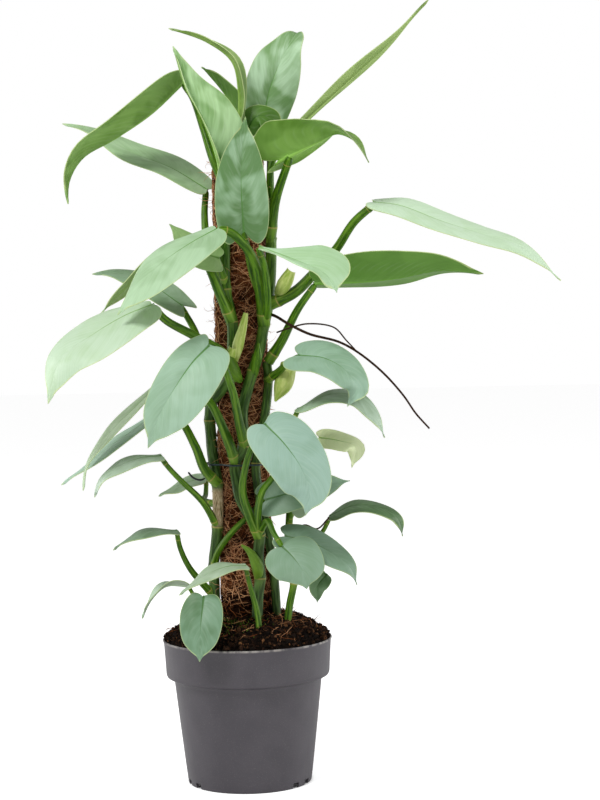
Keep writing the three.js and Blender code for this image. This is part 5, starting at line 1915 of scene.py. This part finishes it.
@dataclass
class Pole:
    """The coir sleeve with its fibres, and the stake in it.

    Attributes:
        sunk: how far the matted body lies under the sleeve's radius.
        lumps: its unevenness, each as (turns round it, turns to a millimetre of height, size).
        fibres: how many lie round it in each of two layers.
        stain_top, stain_height: where the fibres stop being dark with soil, and over what height.
    """

    coir: Material
    bottom: float = 150
    rows: int = 230
    columns: int = 84
    sunk: float = 2.2
    rounding: float = 5
    lumps: tuple[Point, ...] = ((3, 0.11, 0.5), (7, -0.19, 0.4), (2, 0.37, 0.35), (17, 0.9, 0.3))
    fibres: int = 5600
    fibre_from: float = 158
    strays: int = 800
    stray_from: float = 165
    bends: int = 5
    seed: int = 3
    stain_top: float = 197
    stain_height: float = 27
    stake_bottom: float = 160

    def dressed(self, piece: Piece, *nodes: str) -> None:
        """Dresses a piece in coir, dark with soil near its foot.

        Args:
            piece: the piece.
            nodes: the construction's nodes that it stands for.
        """
        height = vertices(piece)[:, 2] / MM
        note(piece, stain=np.clip((self.stain_top - height) / self.stain_height, 0, 0.8))
        dress(piece, "coir", [self.coir], *nodes)

    def sleeve(self) -> Piece:
        """The matted body of the sleeve, under its fibres.

        Returns:
            The piece, with the attribute tone.
        """
        piece, share, turn = net("coir_mat", self.rows, self.columns)
        angle = turn * math.pi
        z = self.bottom + share * (SLEEVE_TOP - self.bottom)
        lumps = sum(size * np.sin(around * angle + rise * z) for around, rise, size in self.lumps)
        edge = np.clip((SLEEVE_TOP - z) / self.rounding, 0, 1) ** 0.5
        r = (SLEEVE_RADIUS - self.sunk + 0.6 * lumps) * (0.9 + 0.1 * edge)
        place(piece, np.column_stack([r * np.sin(angle), -r * np.cos(angle), z]))
        # a low tone keeps the mat dark: partly coir's own dark matting, partly painted shade in the gaps
        # between the fibres
        note(piece, tone=0.2)
        edit(piece, weld(FINE_WELD), OUTWARD)
        modified(piece, "SOLIDIFY", thickness=(SLEEVE_RADIUS - STAKE_RADIUS - 3) * MM, offset=-1)
        return piece

    def wound(self, draw: Chance, depth: tuple[float, float], lean: float) -> Array:
        """Middle lines of the fibres that lie round the sleeve.

        Args:
            draw: the source of chance.
            depth: the least and the most that they lie off the sleeve's radius.
            lean: spread of their slant, in radians.

        Returns:
            The lines: fibre, step, place.
        """
        count, steps = self.fibres, self.bends + 1
        turn = draw.uniform(0, TAU, count)[:, None]
        z = draw.uniform(self.fibre_from, SLEEVE_TOP - 2, count)[:, None]
        slant = draw.normal(0, lean, count)[:, None] + draw.normal(0, 0.28, (count, steps)).cumsum(1)
        step = draw.uniform(8, 30, count)[:, None] / self.bends
        run, climb = (np.hstack([np.zeros((count, 1)), (step * part(slant)).cumsum(1)[:, :-1]])
                      for part in (np.cos, np.sin))
        angle = turn + run / SLEEVE_RADIUS
        high = np.clip(z + climb, self.bottom, SLEEVE_TOP + 1.5)
        share = np.linspace(0, 1, steps)[None]
        arch = draw.uniform(0.2, 1.1, count)[:, None] * np.sin(share * math.pi)
        reach = SLEEVE_RADIUS + draw.uniform(*depth, count)[:, None] + arch
        return np.stack([reach * np.sin(angle), -reach * np.cos(angle), high], -1)

    def loose(self, draw: Chance) -> Strands:
        """The stray fibres that stand off the sleeve.

        Args:
            draw: the source of chance.

        Returns:
            The fibres.
        """
        count = self.strays
        turn = draw.uniform(0, TAU, count)
        out = np.column_stack([np.sin(turn), -np.cos(turn), np.zeros(count)])
        height = draw.uniform(self.stray_from, SLEEVE_TOP, count)[:, None]
        start = out * (SLEEVE_RADIUS - 1) + np.array([0, 0, 1]) * height
        sense = draw.choice([-1, 1], count)[:, None]
        around = np.column_stack([np.cos(turn), np.sin(turn), np.zeros(count)]) * sense
        heading = out * 0.5 + around + draw.normal(0, 0.5, (count, 3))
        return Strands(draw, start, draw.uniform(6, 20, count), radius=(0.14, 0.3), heading=heading)

    def stake(self) -> Piece:
        """The stake's upper end, which shows at the top of the sleeve.

        Returns:
            The piece, with the attribute tone.
        """
        deselect()
        height = STAKE_TOP - self.stake_bottom
        bpy.ops.mesh.primitive_cylinder_add(vertices=48, radius=STAKE_RADIUS * MM, depth=height * MM,
                                            location=(0, 0, (self.stake_bottom + height / 2) * MM))
        stake = bpy.context.object
        stake.name = stake.data.name = "stake"
        bpy.ops.object.transform_apply(location=True, rotation=True, scale=True)
        modified(stake, "BEVEL", width=1.2 * MM, segments=3, limit_method="ANGLE")
        note(stake, tone=0.5)
        return smooth(stake, 40)

    def build(self) -> None:
        """Models and dresses the sleeve, its fibres and the stake."""
        draw = np.random.default_rng(self.seed)
        self.dressed(smooth(self.sleeve()), "coir_sleeve")
        # the inner layer's darker tones and the outer layer's paler ones: partly the fibres' own varied tone,
        # partly painted shade deeper in
        layers = (("coir_inner", (-2.8, -1.4), 0.9, (0.0, 0.6)),
                  ("coir_outer", (-1.7, 0.4), 0.75, (0.0, 1.6)))
        for name, depth, lean, tones in layers:
            lines = self.wound(draw, depth, lean)
            strands = Strands(draw, lines[:, 0], np.ones(self.fibres), radius=(0.22, 0.5))
            self.dressed(strands.build(name, tones, lines))
        self.dressed(self.loose(draw).build("coir_strays", (0.7, 1.35)))
        dress(self.stake(), "bare_wood", [WOOD.build()], "pole_stake")


@dataclass
class Tie:
    """The coated wire round pole and stems, with its loose hooked end.

    Attributes:
        loop: (degrees round the pole from the front, distance from its axis) for each point of the loop.
        tail: the loose end's route.
    """

    loop: tuple[Point, ...] = ((-13, 41), (6, 38), (22, 39), (38, 34), (60, 29), (95, 28.6), (130, 28.6),
                               (165, 28.6), (200, 28.6), (232, 29), (262, 35), (278, 40), (294, 40),
                               (306, 39), (320, 34), (336, 37))
    tail: tuple[Point, ...] = ((-36.8, -15.6, 321), (-38, -14, 314), (-38, -14, 308), (-43, -16, 305.5),
                               (-50, -18, 308), (-55, -20, 314))
    loop_points: int = 60
    sides: int = 12

    def build(self) -> None:
        """Models and dresses the wire."""
        turns = [(math.radians(degrees), r) for degrees, r in self.loop]
        round_pole = Spline([(r * math.sin(a), -r * math.cos(a), WIRE_HEIGHT) for a, r in turns], closed=True)
        route = list(map(tuple, round_pole.walk(np.linspace(0, 1, self.loop_points))[0]))
        loop = Tube(route, [WIRE_RADIUS, WIRE_RADIUS], self.sides, 2).build("tie_loop")
        tail = Tube(self.tail, [WIRE_RADIUS, WIRE_RADIUS * 1.15], self.sides, 1.2, rounded=True)
        end = tail.build("tie_end")
        note(end, tone=0.9)
        dress(smooth(joined("tie", [loop, end])), "coated_wire", [WireFinish().build()], "tie_wire")


# Stage
@dataclass(frozen=True)
class Lamp:
    """A square soft lamp, with its place, side and aim in metres."""

    name: str
    at: Point
    size: float
    watts: float
    aim: Point = (0, 0, 0.35)

    def build(self) -> None:
        """Adds the lamp."""
        data = bpy.data.lights.new(self.name, "AREA")
        data.size, data.energy = self.size, self.watts
        lamp = bpy.data.objects.new(self.name, data)
        lamp.location = self.at
        lamp.rotation_euler = (Vector(self.aim) - Vector(self.at)).to_track_quat("-Z", "Y").to_euler()
        bpy.context.scene.collection.objects.link(lamp)


@dataclass(frozen=True)
class FloorFinish:
    """A pale floor that glows for the camera alone, but not under the pot, which keeps a painted shadow there
    so the notches look dark.

    Attributes:
        middle: the pot's axis in the floor's own coordinates, in metres.
        glow_from, glow_to: distances in metres from that axis at which the glow starts and is full; inside
            glow_from the floor carries the painted shadow.
    """

    name: str = "floor"
    dark: Colour = (0.88, 0.88, 0.88)
    light: Colour = (0.92, 0.92, 0.92)
    glow: Colour = (0.62, 0.62, 0.62)
    middle: Point = (0.0, -3.0, 0.0)
    glow_from: float = 0.058
    glow_to: float = 0.066
    roughness: float = 0.8

    def build(self) -> Material:
        """Makes the material.

        Returns:
            The material.
        """
        made = Surface(self.name)
        colour = made.mix(made.noise(made.spot(), 40.0, 2), self.dark, self.light)
        seen = made.add("LightPath").outputs["Is Camera Ray"]
        away = made.add("VectorMath", {"operation": "DISTANCE"})
        made.feed(away.inputs[0], made.spot())
        made.feed(away.inputs[1], self.middle)
        # no glow near the pot's axis: a painted shadow under the pot
        clear = made.ramp(away.outputs["Value"], self.glow_from, self.glow_to)
        made.feed(made.shader.inputs["Emission Color"], made.mix(made.times(seen, clear), BLACK, self.glow))
        made.shader.inputs["Emission Strength"].default_value = 1.0
        return made.finished(colour, self.roughness)


@dataclass
class Studio:
    """A plain pale floor, soft light and the camera of the photograph.

    Attributes:
        look_height: height of the point on the pole's axis that the camera looks at.
        roll: degrees that it is turned round its line of sight.
        reach: how far it sees.
    """

    camera_place: Point = (57.5, -2000, 480)
    look_height: float = 382.5
    roll: float = 1.1
    lens: float = 90
    sensor: float = 36
    reach: float = 50
    lamps: tuple[Lamp, ...] = (
        Lamp("key", (-1.0, -1.5, 2.4), 0.8, 40),
        Lamp("fill", (1.5, -1.6, 0.5), 1.4, 9),
        Lamp("left_edge", (-1.6, 0.5, 0.6), 1.0, 10),
        Lamp("right_edge", (1.6, 0.5, 0.6), 1.0, 12),
    )
    sky_light: Colour = (0.39, 0.39, 0.39)
    floor_size: float = 12
    floor_middle: Point = (0, 3, 0)

    def camera(self) -> None:
        """Sets up the camera, upright in the frame of the photograph."""
        data = bpy.data.cameras.new("camera")
        data.lens = self.lens
        data.sensor_fit = "AUTO"
        data.sensor_width = data.sensor_height = self.sensor
        data.clip_end = self.reach
        camera = bpy.data.objects.new("camera", data)
        x, y, z = self.camera_place
        camera.location = (x * MM, y * MM, z * MM)
        pitch = math.atan2(self.look_height - z, -y)
        camera.rotation_mode = "XYZ"
        tilt = Matrix.Rotation(math.radians(90) + pitch, 4, "X")
        camera.rotation_euler = (tilt @ Matrix.Rotation(math.radians(-self.roll), 4, "Z")).to_euler()
        bpy.context.scene.collection.objects.link(camera)
        bpy.context.scene.camera = camera

    def sky(self) -> None:
        """Makes the sky: white behind the plant, and a softer grey as light."""
        world = bpy.data.worlds.new("studio")
        world.use_nodes = True
        graph = Graph(world.node_tree)
        seen = graph.add("LightPath").outputs["Is Camera Ray"]
        back = world.node_tree.nodes["Background"]
        graph.feed(back.inputs["Color"], graph.mix(seen, self.sky_light, WHITE))
        bpy.context.scene.world = world
        bpy.context.scene.view_settings.view_transform = "Standard"

    def floor(self) -> None:
        """Lays the floor."""
        deselect()
        bpy.ops.mesh.primitive_plane_add(size=self.floor_size, location=self.floor_middle)
        floor = bpy.context.object
        floor.name = floor.data.name = "floor"
        floor.data.materials.append(FloorFinish().build())

    def build(self) -> None:
        """Sets the camera, the lamps, the sky and the floor."""
        self.camera()
        for lamp in self.lamps:
            lamp.build()
        self.sky()
        self.floor()


def main() -> None:
    """Builds the plant, its pot and pole, and the studio."""
    logging.basicConfig(level=logging.INFO, format="%(message)s")
    Studio().build()
    Mottle().build()
    LeafVeins().build()
    stem = GREEN_STEM.build()
    Pot().build()
    coir = COIR.build()
    Soil(coir=coir).build()
    Pole(coir).build()
    Tie().build()
    Foliage(stem, LEAVES).build()
    Plant(LEAVES, CLIMBERS, SHEATHS, ROOTS, stem, PALE_SHEATH.build(), BARK.build()).build()


if __name__ == "__main__":
    main()
